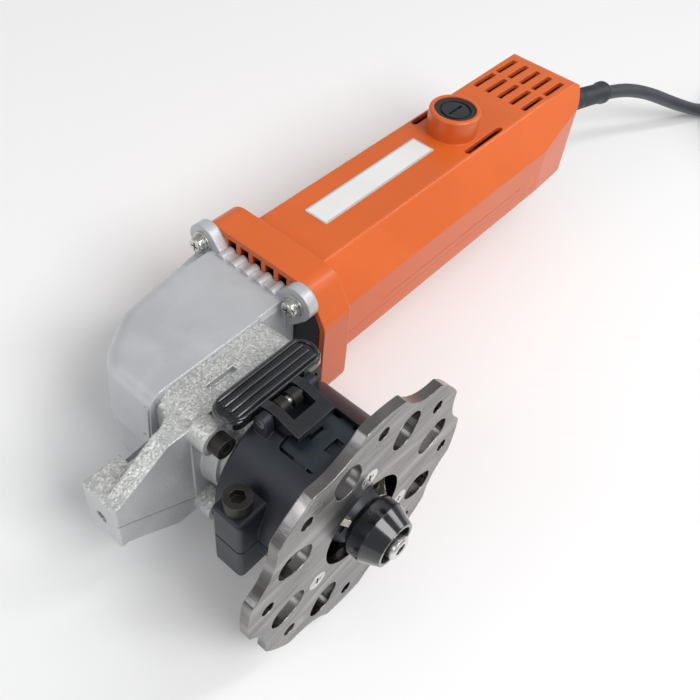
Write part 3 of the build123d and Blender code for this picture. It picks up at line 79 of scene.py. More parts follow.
# %% Axes from the joints
joints = {joint["name"]: joint for joint in frame["joints"]}
motor_axis = Vector(joints["rotor_spin"]["axis"]).normalized()
spindle_axis = Vector(joints["spindle_spin"]["axis"]).normalized()
up_axis = motor_axis.cross(spindle_axis)
tool_axes = Matrix((motor_axis, spindle_axis, up_axis)).transposed().to_4x4()
tool_axes.translation = Vector(joints["rotor_spin"]["pos_m"])
row_to_tool = tool_axes.inverted()
print("roll about the motor axis in degrees", round(math.degrees(math.asin(spindle_axis.z)), 2))

# %% [markdown]
# ## Camera
#
# A camera can be aimed with a Track To constraint, or its matrix can be written straight away. The
# matrix also holds the roll, so it is used here: its columns are the camera's right, its up and the
# way back from the object.

# %% Camera
camera_right = Vector((-0.6416, 0.7270, 0.2443))
camera_up = Vector((-0.5172, -0.6464, 0.5607))
camera_place = Vector((0.2419, 0.0853, 0.3242))

camera_data = bpy.data.cameras.new("camera")
camera_data.lens = 44.17
camera_data.sensor_width = 36.0
camera_data.clip_start = 0.01
camera = bpy.data.objects.new("camera", camera_data)
bpy.context.scene.collection.objects.link(camera)
camera_back = camera_right.cross(camera_up).normalized()
camera_turn = Matrix((camera_right, camera_up, camera_back)).transposed().to_4x4()
camera.matrix_world = Matrix.Translation(camera_place) @ camera_turn
bpy.context.scene.camera = camera
print("camera to the spindle in mm", round((camera_place - tool_axes.translation).length / MM))

# %% [markdown]
# ## Floor and light
#
# The floor is one large pale sheet. Soft studio light comes from big area lamps: a key from above
# and behind the tool's head, a fill from the plate's side and a strip that draws long reflections
# on the glossy black pieces. A pale world fills the shadows. The Standard view keeps white paper
# white.

# %% Floor
bpy.ops.object.select_all(action="DESELECT")
bpy.ops.mesh.primitive_plane_add(size=8.0, location=(0, 0, 0))
floor = bpy.context.object
floor.name = "floor"
floor_paint = bpy.data.materials.new("floor_paper")
floor_paint.use_nodes = True
floor_shader = floor_paint.node_tree.nodes["Principled BSDF"]
floor_shader.inputs["Base Color"].default_value = (0.93, 0.93, 0.93, 1)
floor_shader.inputs["Roughness"].default_value = 0.85
floor.data.materials.append(floor_paint)

# %% Studio light
def lamp(name, place, aim, width, height, watts, colour=(1, 1, 1)):
    """A rectangular area lamp at place that shines towards aim."""
    data = bpy.data.lights.new(name, "AREA")
    data.shape = "RECTANGLE"
    data.size, data.size_y = width, height
    data.energy = watts
    data.color = colour
    lamp_object = bpy.data.objects.new(name, data)
    lamp_object.location = place
    lamp_object.rotation_euler = (Vector(aim) - Vector(place)).to_track_quat("-Z", "Y").to_euler()
    bpy.context.scene.collection.objects.link(lamp_object)
    return lamp_object


head_place = tool_axes.translation
lamp("key", (0.10, 0.85, 1.30), head_place, 0.8, 0.8, 13.0)
lamp("fill", (1.15, -0.35, 0.75), head_place, 0.7, 0.5, 2.6, (0.95, 0.97, 1.0))
lamp("strip", (-0.65, 0.30, 0.95), (0, 0, 0), 0.18, 1.2, 3.2)
world = bpy.data.worlds.new("studio")
world.use_nodes = True
world.node_tree.nodes["Background"].inputs["Color"].default_value = (1.0, 1.0, 1.0, 1)
world.node_tree.nodes["Background"].inputs["Strength"].default_value = 0.42
bpy.context.scene.world = world
bpy.context.scene.view_settings.view_transform = "Standard"

# %% [markdown]
# ## Shared effects
#
# Real finishes share a few effects: edges that are never quite sharp and rub bright, a fine grain,
# and a slow cloudy change from place to place. Each effect is one small node group with named
# inputs, made once and placed in every finish with its own values. The patterns read Object
# coordinates, so their scale is real: 1 unit is a metre.

# %% Node group helpers
def new_group(name, inputs, outputs):
    """An empty shader node group with float inputs {name: default} and outputs {name: socket type}."""
    group = bpy.data.node_groups.new(name, "ShaderNodeTree")
    for socket, value in inputs.items():
        made = group.interface.new_socket(socket, in_out="INPUT", socket_type="NodeSocketFloat")
        made.default_value = value
    for socket, kind in outputs.items():
        group.interface.new_socket(socket, in_out="OUTPUT", socket_type=kind)
    return group, group.nodes.new("NodeGroupInput"), group.nodes.new("NodeGroupOutput")


def node(tree, kind, links=None, **settings):
    """A node of that kind, with its settings, and with links {input: socket or value}."""
    made = tree.nodes.new(kind)
    for name, value in settings.items():
        setattr(made, name, value)
    for name, source in (links or {}).items():
        if isinstance(source, bpy.types.NodeSocket):
            tree.links.new(source, made.inputs[name])
        else:
            made.inputs[name].default_value = source
    return made


# %% Soft edges
# The Bevel node rounds the normals near an edge. Where they differ from the face's own normal, the
# edge is worn.
edge_group, group_in, group_out = new_group("soft_edges", {"Radius": 0.0004},
                                            {"Normal": "NodeSocketVector", "Edge": "NodeSocketFloat"})
rounding = node(edge_group, "ShaderNodeBevel", {"Radius": group_in.outputs["Radius"]}, samples=6)
facing = node(edge_group, "ShaderNodeNewGeometry")
alike = node(edge_group, "ShaderNodeVectorMath",
             {0: rounding.outputs["Normal"], 1: facing.outputs["Normal"]}, operation="DOT_PRODUCT")
worn = node(edge_group, "ShaderNodeMapRange", {"Value": alike.outputs["Value"], "From Min": 0.995,
                                               "From Max": 0.90, "To Min": 0.0, "To Max": 1.0})
edge_group.links.new(rounding.outputs["Normal"], group_out.inputs["Normal"])
edge_group.links.new(worn.outputs["Result"], group_out.inputs["Edge"])

# %% Grain
grain_group, group_in, group_out = new_group("grain", {"Scale": 900.0, "Roundness": 0.5},
                                             {"Value": "NodeSocketFloat"})
place = node(grain_group, "ShaderNodeTexCoord").outputs["Object"]
fine = node(grain_group, "ShaderNodeTexNoise", {"Vector": place, "Scale": group_in.outputs["Scale"],
                                                "Detail": 3.0, "Roughness": group_in.outputs["Roundness"]})
grain_group.links.new(fine.outputs["Fac"], group_out.inputs["Value"])

# %% Clouds
cloud_settings = {"Scale": 30.0, "Swirl": 0.6, "Low": 0.35, "High": 0.65}
cloud_group, group_in, group_out = new_group("clouds", cloud_settings, {"Value": "NodeSocketFloat"})
place = node(cloud_group, "ShaderNodeTexCoord").outputs["Object"]
slow = node(cloud_group, "ShaderNodeTexNoise", {"Vector": place, "Scale": group_in.outputs["Scale"],
                                                "Detail": 4.0, "Distortion": group_in.outputs["Swirl"]})
spread = node(cloud_group, "ShaderNodeMapRange", {"Value": slow.outputs["Fac"],
                                                  "From Min": group_in.outputs["Low"],
                                                  "From Max": group_in.outputs["High"]})
cloud_group.links.new(spread.outputs["Result"], group_out.inputs["Value"])

# %% Tool coordinates
# The same place measured in the tool's own axes, for lines that follow the motor or the spindle.
tool_group, group_in, group_out = new_group("tool_place", {}, {"Vector": "NodeSocketVector",
                                                               "Facing": "NodeSocketVector"})
place = node(tool_group, "ShaderNodeTexCoord").outputs["Object"]
turned = node(tool_group, "ShaderNodeMapping", {"Vector": place, "Location": row_to_tool.to_translation(),
                                                "Rotation": row_to_tool.to_euler()})
surface_normal = node(tool_group, "ShaderNodeNewGeometry").outputs["Normal"]
turned_normal = node(tool_group, "ShaderNodeMapping",
                     {"Vector": surface_normal, "Rotation": row_to_tool.to_euler()}, vector_type="VECTOR")
tool_group.links.new(turned.outputs["Vector"], group_out.inputs["Vector"])
tool_group.links.new(turned_normal.outputs["Vector"], group_out.inputs["Facing"])
print("node groups", [group.name for group in bpy.data.node_groups])

# %% [markdown]
# ## A finish
#
# Every finish is built the same way: one Principled shader, its colour moved a little lighter and
# darker by the clouds and lifted along worn edges, its roughness moved by the same clouds, and its
# surface raised by the grain. The finishes differ in their values, and a few get one more pattern
# of their own afterwards.

# %% Build a finish
COLOUR_A, COLOUR_B, COLOUR_OUT = 6, 7, 2    # the colour sockets of a Mix node


def group_node(tree, name, values=None):
    """One use of a node group, with its own values."""
    made = tree.nodes.new("ShaderNodeGroup")
    made.node_tree = bpy.data.node_groups[name]
    for socket, value in (values or {}).items():
        made.inputs[socket].default_value = value
    return made


def mix_colours(tree, factor, first, second, blend="MIX"):
    """The colour between first and second, each a socket or three numbers, by factor."""
    made = tree.nodes.new("ShaderNodeMix")
    made.data_type = "RGBA"
    made.blend_type = blend
    for index, source in ((0, factor), (COLOUR_A, first), (COLOUR_B, second)):
        if isinstance(source, bpy.types.NodeSocket):
            tree.links.new(source, made.inputs[index])
        elif index:
            made.inputs[index].default_value = (*source, 1)
        else:
            made.inputs[index].default_value = source
    return made.outputs[COLOUR_OUT]


def ramp(tree, value, low, high, to_low=0.0, to_high=1.0):
    """A value carried from low..high to to_low..to_high, and held at the ends."""
    made = node(tree, "ShaderNodeMapRange", {"Value": value, "From Min": low, "From Max": high,
                                             "To Min": to_low, "To Max": to_high})
    return made.outputs["Result"]


def finish(name, colour, metallic=0.0, roughness=0.5, coat=0.0, clouds=30.0, mottle=0.08, rough_spread=0.05,
           grain=900.0, height=0.02, edge_radius=0.35, edge_colour=None, edge_share=0.35):
    """A material of one finish: clouded colour and roughness, worn edges, and a fine raised grain."""
    material = bpy.data.materials.new(name)
    material.use_nodes = True
    tree = material.node_tree
    shader = tree.nodes["Principled BSDF"]
    shader.inputs["Metallic"].default_value = metallic
    shader.inputs["Coat Weight"].default_value = coat
    shader.inputs["Coat Roughness"].default_value = 0.08
    cloud = group_node(tree, "clouds", {"Scale": clouds}).outputs["Value"]
    edges = group_node(tree, "soft_edges", {"Radius": edge_radius * MM})
    dark = [channel * (1 - mottle) for channel in colour]
    light = [min(1.0, channel * (1 + mottle)) for channel in colour]
    body = mix_colours(tree, cloud, dark, light)
    rubbed = edge_colour or [min(1.0, channel * 1.5 + 0.02) for channel in colour]
    edge = ramp(tree, edges.outputs["Edge"], 0.0, 1.0, 0.0, edge_share)
    tree.links.new(mix_colours(tree, edge, body, rubbed), shader.inputs["Base Color"])
    rough = ramp(tree, cloud, 0.0, 1.0, roughness - rough_spread, roughness + rough_spread)
    tree.links.new(rough, shader.inputs["Roughness"])
    raised = group_node(tree, "grain", {"Scale": grain}).outputs["Value"]
    bump = node(tree, "ShaderNodeBump", {"Height": raised, "Distance": height * MM,
                                         "Normal": edges.outputs["Normal"]})
    tree.links.new(bump.outputs["Normal"], shader.inputs["Normal"])
    bump.name = "surface"
    return material


# %% Plain finishes
finishes = {
    "orange_plastic": finish("orange_nylon", (0.74, 0.135, 0.020), roughness=0.36, coat=0.12, clouds=14.0,
                             mottle=0.05, grain=1400.0, height=0.012, edge_radius=0.8,
                             edge_colour=(0.90, 0.30, 0.11), edge_share=0.30),
    "smooth_silver": finish("smooth_silver_paint", (0.60, 0.61, 0.63), metallic=0.35, roughness=0.40,
                            coat=0.1, clouds=40.0, mottle=0.07, grain=1900.0, height=0.03, edge_radius=1.2,
                            edge_colour=(0.80, 0.80, 0.80)),
    "coarse_silver": finish("hammered_silver_paint", (0.60, 0.61, 0.60), metallic=0.45, roughness=0.36,
                            clouds=45.0, mottle=0.08, grain=1100.0, height=0.10, edge_radius=1.0,
                            edge_colour=(0.80, 0.79, 0.75)),
    "black_oxide": finish("blackened_steel", (0.020, 0.024, 0.034), metallic=0.2, roughness=0.42,
                          clouds=60.0, mottle=0.25, grain=2200.0, height=0.015, edge_radius=0.5,
                          edge_colour=(0.10, 0.11, 0.13), edge_share=0.5),
    "black_bolts": finish("bolt_black", (0.030, 0.027, 0.025), metallic=0.5, roughness=0.45, clouds=120.0,
                          mottle=0.3, grain=2500.0, height=0.012, edge_radius=0.4,
                          edge_colour=(0.16, 0.13, 0.11), edge_share=0.6),
    "slate_steel": finish("slate_steel", (0.052, 0.066, 0.082), metallic=0.55, roughness=0.40, clouds=70.0,
                          mottle=0.2, grain=2400.0, height=0.012, edge_radius=0.35,
                          edge_colour=(0.20, 0.23, 0.26), edge_share=0.6),
    "plate_steel": finish("polished_plate", (0.235, 0.225, 0.220), metallic=1.0, roughness=0.30,
                          clouds=26.0, mottle=0.28, rough_spread=0.10, grain=2600.0, height=0.010,
                          edge_radius=0.5, edge_colour=(0.50, 0.48, 0.46), edge_share=0.7),
    "gloss_black": finish("gloss_black", (0.008, 0.009, 0.013), roughness=0.16, coat=0.6, clouds=60.0,
                          mottle=0.3, grain=1500.0, height=0.006, edge_radius=0.6,
                          edge_colour=(0.05, 0.055, 0.065), edge_share=0.6),
    "black_plastic": finish("moulded_black", (0.022, 0.024, 0.028), roughness=0.46, clouds=80.0, mottle=0.2,
                            grain=2000.0, height=0.02, edge_radius=0.4),
    "zinc": finish("zinc_plate", (0.66, 0.66, 0.63), metallic=1.0, roughness=0.24, clouds=160.0,
                   mottle=0.12, grain=2500.0, height=0.015, edge_radius=0.3),
    "ground_steel": finish("ground_steel", (0.52, 0.52, 0.53), metallic=1.0, roughness=0.28, clouds=90.0,
                           mottle=0.1, grain=3000.0, height=0.01, edge_radius=0.25),
    "carbide": finish("ground_carbide", (0.60, 0.57, 0.47), metallic=0.9, roughness=0.26, clouds=200.0,
                      mottle=0.12, grain=3000.0, height=0.008, edge_radius=0.15),
    "lamination": finish("varnished_iron", (0.16, 0.13, 0.10), metallic=0.6, roughness=0.42, clouds=90.0,
                         mottle=0.25, grain=2200.0, height=0.02, edge_radius=0.25),
    "copper": finish("enamelled_copper", (0.62, 0.24, 0.09), metallic=0.9, roughness=0.30, clouds=110.0,
                     mottle=0.15, grain=1800.0, height=0.03, edge_radius=0.3),
    "brass": finish("plain_brass", (0.72, 0.52, 0.22), metallic=1.0, roughness=0.27, clouds=110.0,
                    mottle=0.1, grain=2600.0, height=0.01, edge_radius=0.3),
    "carbon": finish("pressed_carbon", (0.028, 0.028, 0.030), metallic=0.1, roughness=0.55, clouds=150.0,
                     mottle=0.3, grain=2600.0, height=0.02, edge_radius=0.3),
    "spring_steel": finish("drawn_wire", (0.45, 0.45, 0.46), metallic=1.0, roughness=0.25, clouds=200.0,
                           mottle=0.1, grain=3000.0, height=0.008, edge_radius=0.1),
    "rubber": finish("moulded_rubber", (0.030, 0.034, 0.040), roughness=0.52, clouds=60.0, mottle=0.2,
                     grain=1600.0, height=0.025, edge_radius=0.5),
    "cord_rubber": finish("cord_sheath", (0.050, 0.058, 0.068), roughness=0.48, clouds=50.0, mottle=0.16,
                          grain=1500.0, height=0.02, edge_radius=0.2),
    "label": finish("label_paper", (0.86, 0.86, 0.85), roughness=0.38, coat=0.2, clouds=40.0, mottle=0.02,
                    grain=2600.0, height=0.004, edge_radius=0.1, edge_colour=(0.5, 0.5, 0.5)),
}
print("finishes", len(finishes))

# %% [markdown]
# ## Finish the CAD pieces
#
# The CAD pieces keep their exact meshes. Each one is given its finish through the record, which
# names a material slot for every piece, so the scene and the record can't disagree.

# %% Give every CAD piece its finish
nodes = {o["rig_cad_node"]: o for o in bpy.data.objects if "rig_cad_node" in o}
for part in frame["record"]["subparts"]:
    mesh = nodes[part["node"]].data
    mesh.materials.clear()
    mesh.materials.append(finishes[part["material_slot"]])
print("CAD pieces with a finish", len(nodes))

# %% [markdown]
# ## The cord
#
# A mains lead is a flexible round cable of a fixed length. It could be a mesh tube or a bevelled
# curve. A NURBS curve is best here, because its line is smooth through a few given points,
# just as a stiff lead lies: straight out of the sleeve, down to the floor, away from the tool, and
# its spare length wound in a neat coil with the plug on it.

# %% Cord route
CORD_RADIUS = 4.0 * MM
gland = Vector((-157.26, -35.61, 50.03)) * MM
coil_centre = Vector((-362.0, 75.4, 0.0)) * MM


def on_coil(degrees, radius, height):
    """A point of the coil in metres, from its angle in degrees and its radius and height in mm."""
    angle = math.radians(degrees)
    return coil_centre + Vector((radius * math.cos(angle), radius * math.sin(angle), height)) * MM


free_run = [(-219.5, -23.0, 45.1), (-256.0, -13.1, 38.5), (-305.0, 5.9, 17.5), (-341.0, 17.4, 4.0)]
route = [gland] + [Vector(point) * MM for point in free_run]

# rows of the coil as (radius, height); between two rows one point lies halfway
coil_rows = [(48.0, 4.8), (40.0, 4.8), (40.0, 12.8), (48.0, 12.8), (48.0, 20.8), (40.0, 20.8), (40.0, 28.8)]
first_row_points, row_points, last_row_points = 14, 13, 5
coil_step = 24.0
coil_start = 244.5
inside_share = 1.022    # the curve runs this much inside its control points
row_counts = [first_row_points] + [row_points] * (len(coil_rows) - 2) + [last_row_points]
winding = []
for index, (row, count) in enumerate(zip(coil_rows, row_counts)):
    if index:
        before = coil_rows[index - 1]
        winding.append(((row[0] + before[0]) / 2, (row[1] + before[1]) / 2))
    winding += [row] * count
for index, (row_radius, row_height) in enumerate(winding):
    route.append(on_coil(coil_start - coil_step * index, row_radius * inside_share, row_height))
plug_run = [(235.0, 44.0, 28.3), (213.0, 44.0, 30.0), (190.0, 46.0, 36.0), (170.0, 50.0, 39.5)]
route += [on_coil(*point) for point in plug_run]
plug_heading = route[-1] - route[-2]
plug_heading.z = 0
plug_heading.normalize()
route.append(route[-1] + plug_heading * 5 * MM)
print("route points", len(route))

# %% Cord curve
cord_curve = bpy.data.curves.new("cord", "CURVE")
cord_curve.dimensions = "3D"
cord_curve.bevel_depth = 1.0    # times each point's radius
cord_curve.bevel_resolution = 5
cord_curve.resolution_u = 8
spline = cord_curve.splines.new("NURBS")
spline.points.add(len(route) - 1)
for point, place in zip(spline.points, route):
    point.co = (*place, 1.0)
    point.radius = CORD_RADIUS
spline.order_u = 3
spline.use_endpoint_u = True
cord_curve.use_fill_caps = True
cord = bpy.data.objects.new("cord", cord_curve)
bpy.context.scene.collection.objects.link(cord)
cord.data.materials.append(finishes["cord_rubber"])
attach(cord, "housing")
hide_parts("power_cord", "cord_coil", "cord_end")

# %% [markdown]
# ## The sleeve
#
# A moulded rubber sleeve keeps the cord from kinking where it leaves the tail. It could be a
# stretched cylinder; here its profile is drawn as a chain of points and spun round the cord,
# because the profile holds the thick root, the taper and the small roll at its tip in one line.

# %% Spun pieces
def deselect():
    """An operator acts on all that is selected, so nothing is."""
    bpy.ops.object.select_all(action="DESELECT")


def drawn(name, points, edges=(), faces=()):
    """A new piece from a drawn line or outline, selected all over in edit mode."""
    mesh = bpy.data.meshes.new(name)
    mesh.from_pydata(points, edges, faces)
    piece = bpy.data.objects.new(name, mesh)
    bpy.context.scene.collection.objects.link(piece)
    deselect()
    piece.select_set(True)
    bpy.context.view_layer.objects.active = piece
    bpy.ops.object.mode_set(mode="EDIT")
    bpy.ops.mesh.select_all(action="SELECT")
    return piece


def spun(name, profile, foot, direction, steps=48):
    """A round piece: profile is a list of (along, radius) in mm, spun round the line from foot."""
    points = [(radius * MM, 0, along * MM) for along, radius in profile]
    piece = drawn(name, points, edges=[(index, index + 1) for index in range(len(points) - 1)])
    bpy.ops.mesh.spin(steps=steps, angle=2 * math.pi, center=(0, 0, 0), axis=(0, 0, 1))
    bpy.ops.mesh.select_all(action="SELECT")
    bpy.ops.mesh.remove_doubles(threshold=0.00002)
    bpy.ops.mesh.normals_make_consistent(inside=False)
    bpy.ops.object.mode_set(mode="OBJECT")
    turn = Vector(direction).to_track_quat("Z", "Y").to_matrix().to_4x4()
    piece.data.transform(Matrix.Translation(foot) @ turn)
    bpy.ops.object.shade_smooth_by_angle(angle=math.radians(40))
    return piece


# %% Sleeve
sleeve_tip = route[1]
sleeve_line = sleeve_tip - gland
sleeve_length = sleeve_line.length / MM
sleeve_profile = [(0, 0.01), (0, 7.2), (9.0, 7.3), (10.0, 6.9), (14.0, 6.6)]
groove_count, groove_start, groove_pitch, groove_depth = 5, 17.0, 5.6, 0.35
groove_radius, groove_taper, groove_lip = 6.5, 0.17, 0.03
for groove in range(groove_count):
    start = groove_start + groove_pitch * groove
    radius = groove_radius - groove_taper * groove
    sleeve_profile += [(start, radius), (start + 0.5, radius - groove_depth),
                       (start + 1.5, radius - groove_depth), (start + 2.0, radius - groove_lip)]
sleeve_profile += [(sleeve_length - 8.0, 5.6), (sleeve_length - 6.0, 5.7), (sleeve_length - 4.0, 6.4),
                   (sleeve_length - 1.5, 6.5), (sleeve_length, 5.9), (sleeve_length + 0.3, 4.2),
                   (sleeve_length - 1.0, 3.95)]
sleeve = spun("cord_sleeve", sleeve_profile, gland, sleeve_line)
sleeve.data.materials.append(finishes["rubber"])
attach(sleeve, "housing")
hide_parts("strain_relief")
print("sleeve length in mm", round(sleeve_length, 1))

# %% [markdown]
# ## The tie
#
# A rubber strap holds the wound turns together. It could be a bent strip; a thin ring whose two
# halves are pulled apart gives the same closed loop with soft round ends. It stands across the
# turns and wraps all of them.

# %% Stretched balls and rings
NEAR_MIDDLE = 0.001 * MM


def stretched(name, half_length):
    """Pulls the new piece's two halves apart along x, each by half_length in mm."""
    piece = bpy.context.object
    piece.name = piece.data.name = name
    for side in (1, -1):
        bpy.ops.object.mode_set(mode="EDIT")
        bpy.ops.mesh.select_mode(type="VERT")
        bpy.ops.mesh.select_all(action="DESELECT")
        bpy.ops.object.mode_set(mode="OBJECT")
        for vertex in piece.data.vertices:
            vertex.select = side * vertex.co.x > NEAR_MIDDLE
        bpy.ops.object.mode_set(mode="EDIT")
        bpy.ops.transform.translate(value=(side * half_length * MM, 0, 0))
        bpy.ops.object.mode_set(mode="OBJECT")
    bpy.ops.object.shade_smooth()
    return piece


def bead(name, half_length, radius):
    """A long rounded bead at the origin."""
    deselect()
    bpy.ops.mesh.primitive_uv_sphere_add(segments=32, ring_count=17, radius=radius * MM)
    return stretched(name, half_length)


def band(name, half_length, ring_radius, thickness):
    """A ring with two straight sides at the origin."""
    deselect()
    bpy.ops.mesh.primitive_torus_add(major_segments=64, minor_segments=12,
                                     major_radius=ring_radius * MM, minor_radius=thickness * MM)
    return stretched(name, half_length)


def copied(piece, name):
    """A copy with a mesh of its own."""
    copy = piece.copy()
    copy.data = piece.data.copy()
    copy.name = copy.data.name = name
    bpy.context.scene.collection.objects.link(copy)
    return copy


def in_tool(x, y, z):
    """Places a piece at x, y, z in mm on the tool's own axes."""
    return tool_axes @ Matrix.Translation(Vector((x, y, z)) * MM)


# %% Tie round the coil
TIE_ANGLE = 60.0
tie_radius, tie_height = 44.0, 13.8
tie_half_length, tie_ring_radius, tie_thickness = 3.2, 9.4, 1.0
upright = Matrix(((0, 1, 0, 0), (0, 0, 1, 0), (1, 0, 0, 0), (0, 0, 0, 1)))
tie_turn = Matrix.Rotation(math.radians(TIE_ANGLE), 4, "Z") @ upright
tie_place = Matrix.Translation(on_coil(TIE_ANGLE, tie_radius, tie_height)) @ tie_turn
tie = band("cord_tie", tie_half_length, tie_ring_radius, tie_thickness)
tie.data.transform(tie_place)
tie.data.materials.append(finishes["rubber"])
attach(tie, "housing")

# %% [markdown]
# ## The lever's pad
#
# The lock lever is a glossy moulding with a rolled rim and long grip beads that catch the light.
# The CAD lever holds the outline. The beads could be a bump in the finish, but their highlights
# need real round shapes: each bead is a small ball whose halves are pulled apart, and the rim is a
# thin ring stretched the same way.

# %% Beads and rim of the lever
PAD_MIDDLE = (-1.25, 46.95, 35.6)
pad_half_length, pad_half_width = 22.25, 6.45
bead_pitch, bead_radius, bead_end_gap = 3.0, 1.0, 4.0
bead_shift, bead_rise = -0.4, 0.45    # the beads' middle from the pad's
rim_thickness, rim_overhang = 0.8, 0.1
slots = {row["node"]: row["material_slot"] for row in frame["record"]["subparts"]}
bead_count = 4
beads = [bead("lever_bead_1", pad_half_length - bead_end_gap, bead_radius)]
beads += [copied(beads[0], f"lever_bead_{count}") for count in range(2, bead_count + 1)]
for count, piece in enumerate(beads):
    bead_y = PAD_MIDDLE[1] + bead_shift + bead_pitch * (count - (bead_count - 1) / 2)
    piece.data.transform(in_tool(PAD_MIDDLE[0], bead_y, PAD_MIDDLE[2] + bead_rise))
rim = band("lever_rim", pad_half_length - pad_half_width, pad_half_width - rim_thickness + rim_overhang,
           rim_thickness)
rim.data.transform(in_tool(*PAD_MIDDLE))
for piece in beads + [rim]:
    piece.data.materials.append(finishes[slots["lock_lever"]])
    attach(piece, "lever")
print("beads", len(beads))

# %% [markdown]
# ## The cast arrow
#
# The nose of the head carries a raised arrow that shows which way the cutter turns. It is cast with
# the case, so it follows the case's face. A text character or a cut in the casting could make it.
# Here its outline is drawn as one face, each of its points is dropped onto the casting along the
# motor's axis, and the face is extruded back into the casting.

# %% Where the nose's face is
BEFORE_THE_NOSE = 90.0


def nose_face(y, z):
    """The frontmost point of the head's castings at y and z in mm, in the tool's axes."""
    start = tool_axes @ (Vector((BEFORE_THE_NOSE, y, z)) * MM)
    hits = []
    for name in ("bearing_box", "gear_case"):
        found, spot, _, _ = bpy.data.objects[name].ray_cast(start, -motor_axis)
        if found:
            hits.append((row_to_tool @ spot).x / MM)
    return max(hits)


# %% Arrow on the nose
ARROW_ACROSS = 18.5
ARROW_TOP, ARROW_BOTTOM = 22.0, 0.0
arrow_half_width, arrow_head_half_width, arrow_head = 0.9, 2.6, 6.0
arrow_height, arrow_root = 0.5, 0.3
outline = [(-arrow_half_width, 0.0), (-arrow_half_width, 1.0), (-arrow_head_half_width, 1.0), (0.0, 2.0),
           (arrow_head_half_width, 1.0), (arrow_half_width, 1.0), (arrow_half_width, 0.0)]
arrow_reach = ARROW_TOP - ARROW_BOTTOM


def arrow_point(across, along):
    """A point proud of the nose; along is 0 at the foot, 1 at the head's start and 2 at the tip."""
    shaft = arrow_reach - arrow_head
    drop = min(along, 1.0) * shaft + max(along - 1.0, 0.0) * arrow_head
    y, z = ARROW_ACROSS + across, ARROW_TOP - drop
    return tool_axes @ (Vector((nose_face(y, z) + arrow_height, y, z)) * MM)


print("nose face from", round(nose_face(ARROW_ACROSS, ARROW_TOP), 2), "to",
      round(nose_face(ARROW_ACROSS, ARROW_BOTTOM), 2))
arrow = drawn("nose_arrow", [arrow_point(*point) for point in outline], faces=[range(len(outline))])
way_back = -motor_axis * (arrow_height + arrow_root) * MM
bpy.ops.mesh.extrude_region_move(TRANSFORM_OT_translate={"value": way_back})
bpy.ops.mesh.select_all(action="SELECT")
bpy.ops.mesh.normals_make_consistent(inside=False)
bpy.ops.object.mode_set(mode="OBJECT")
print("arrow faces", len(arrow.data.polygons))
arrow.data.materials.append(finishes[slots["gear_case"]])
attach(arrow, "housing")

# %% [markdown]
# ## Patterns of single finishes
#
# Some finishes have one pattern more than the others: the hammered paint on the bearing box glitters
# with painted glints on its top and takes painted shade on its sides, the smooth silver and the orange
# housing take painted shade on their steep sides, the guide plate shows cloudy polishing streaks that
# are partly painted reflections, and the two housing halves and the cast arm show thin parting lines.
# The flakes, streaks and lines could be modelled, but they are shallower than a hair, so they are
# drawn by the material at their true place.

# %% Helpers for patterns
def shader_of(tree):
    """The one shader of a finish."""
    return tree.nodes["Principled BSDF"]


def recolour(tree, factor, colour, blend="MIX"):
    """Lays one more colour over the base colour, where factor says."""
    socket = shader_of(tree).inputs["Base Color"]
    below = socket.links[0].from_socket
    tree.links.new(mix_colours(tree, factor, below, colour, blend), socket)


def raise_surface(tree, height, distance):
    """Adds one more bump over the surface; distance is in mm, and a negative one sinks it."""
    socket = shader_of(tree).inputs["Normal"]
    below = socket.links[0].from_socket
    bump = node(tree, "ShaderNodeBump", {"Height": height, "Distance": distance * MM, "Normal": below})
    tree.links.new(bump.outputs["Normal"], socket)


def maths(tree, operation, *values):
    """One sum on sockets or plain numbers."""
    made = tree.nodes.new("ShaderNodeMath")
    made.operation = operation
    for socket, value in zip(made.inputs, values):
        if isinstance(value, bpy.types.NodeSocket):
            tree.links.new(value, socket)
        else:
            socket.default_value = value
    return made.outputs[0]


def split_place(tree):
    """x, y and z in the tool's own axes, and the three parts of the way the surface faces."""
    place_group = group_node(tree, "tool_place")
    places = node(tree, "ShaderNodeSeparateXYZ", {"Vector": place_group.outputs["Vector"]})
    facings = node(tree, "ShaderNodeSeparateXYZ", {"Vector": place_group.outputs["Facing"]})
    return [places.outputs[i] for i in range(3)], [facings.outputs[i] for i in range(3)]


def line_mask(tree, distance, half_width):
    """1 where distance is nearly zero, falling to 0 at half_width, both in metres."""
    return ramp(tree, maths(tree, "ABSOLUTE", distance), half_width * 0.4, half_width, 1.0, 0.0)


def between(tree, value, low, high):
    """1 where value lies between low and high, in metres."""
    over = maths(tree, "GREATER_THAN", value, low)
    under = maths(tree, "LESS_THAN", value, high)
    return maths(tree, "MULTIPLY", over, under)


# %% Hammered paint, with painted glints on top and painted shade on its sides
tree = finishes["coarse_silver"].node_tree
object_place = node(tree, "ShaderNodeTexCoord").outputs["Object"]
(px, py, pz), facing = split_place(tree)
# Painted light: the flakes show only on faces that point up, where the light falls, and the bright flakes
# are painted glints.
top_light_mask = ramp(tree, facing[2], 0.35, 0.85)
flakes = node(tree, "ShaderNodeTexVoronoi", {"Vector": object_place, "Scale": 1500.0})
flake_light = node(tree, "ShaderNodeSeparateColor", {"Color": flakes.outputs["Color"]}).outputs["Red"]
painted_glints = maths(tree, "MULTIPLY", ramp(tree, flake_light, 0.60, 0.95, 0.0, 0.75), top_light_mask)
dark_flakes = maths(tree, "MULTIPLY", ramp(tree, flake_light, 0.35, 0.0, 0.0, 0.55), top_light_mask)
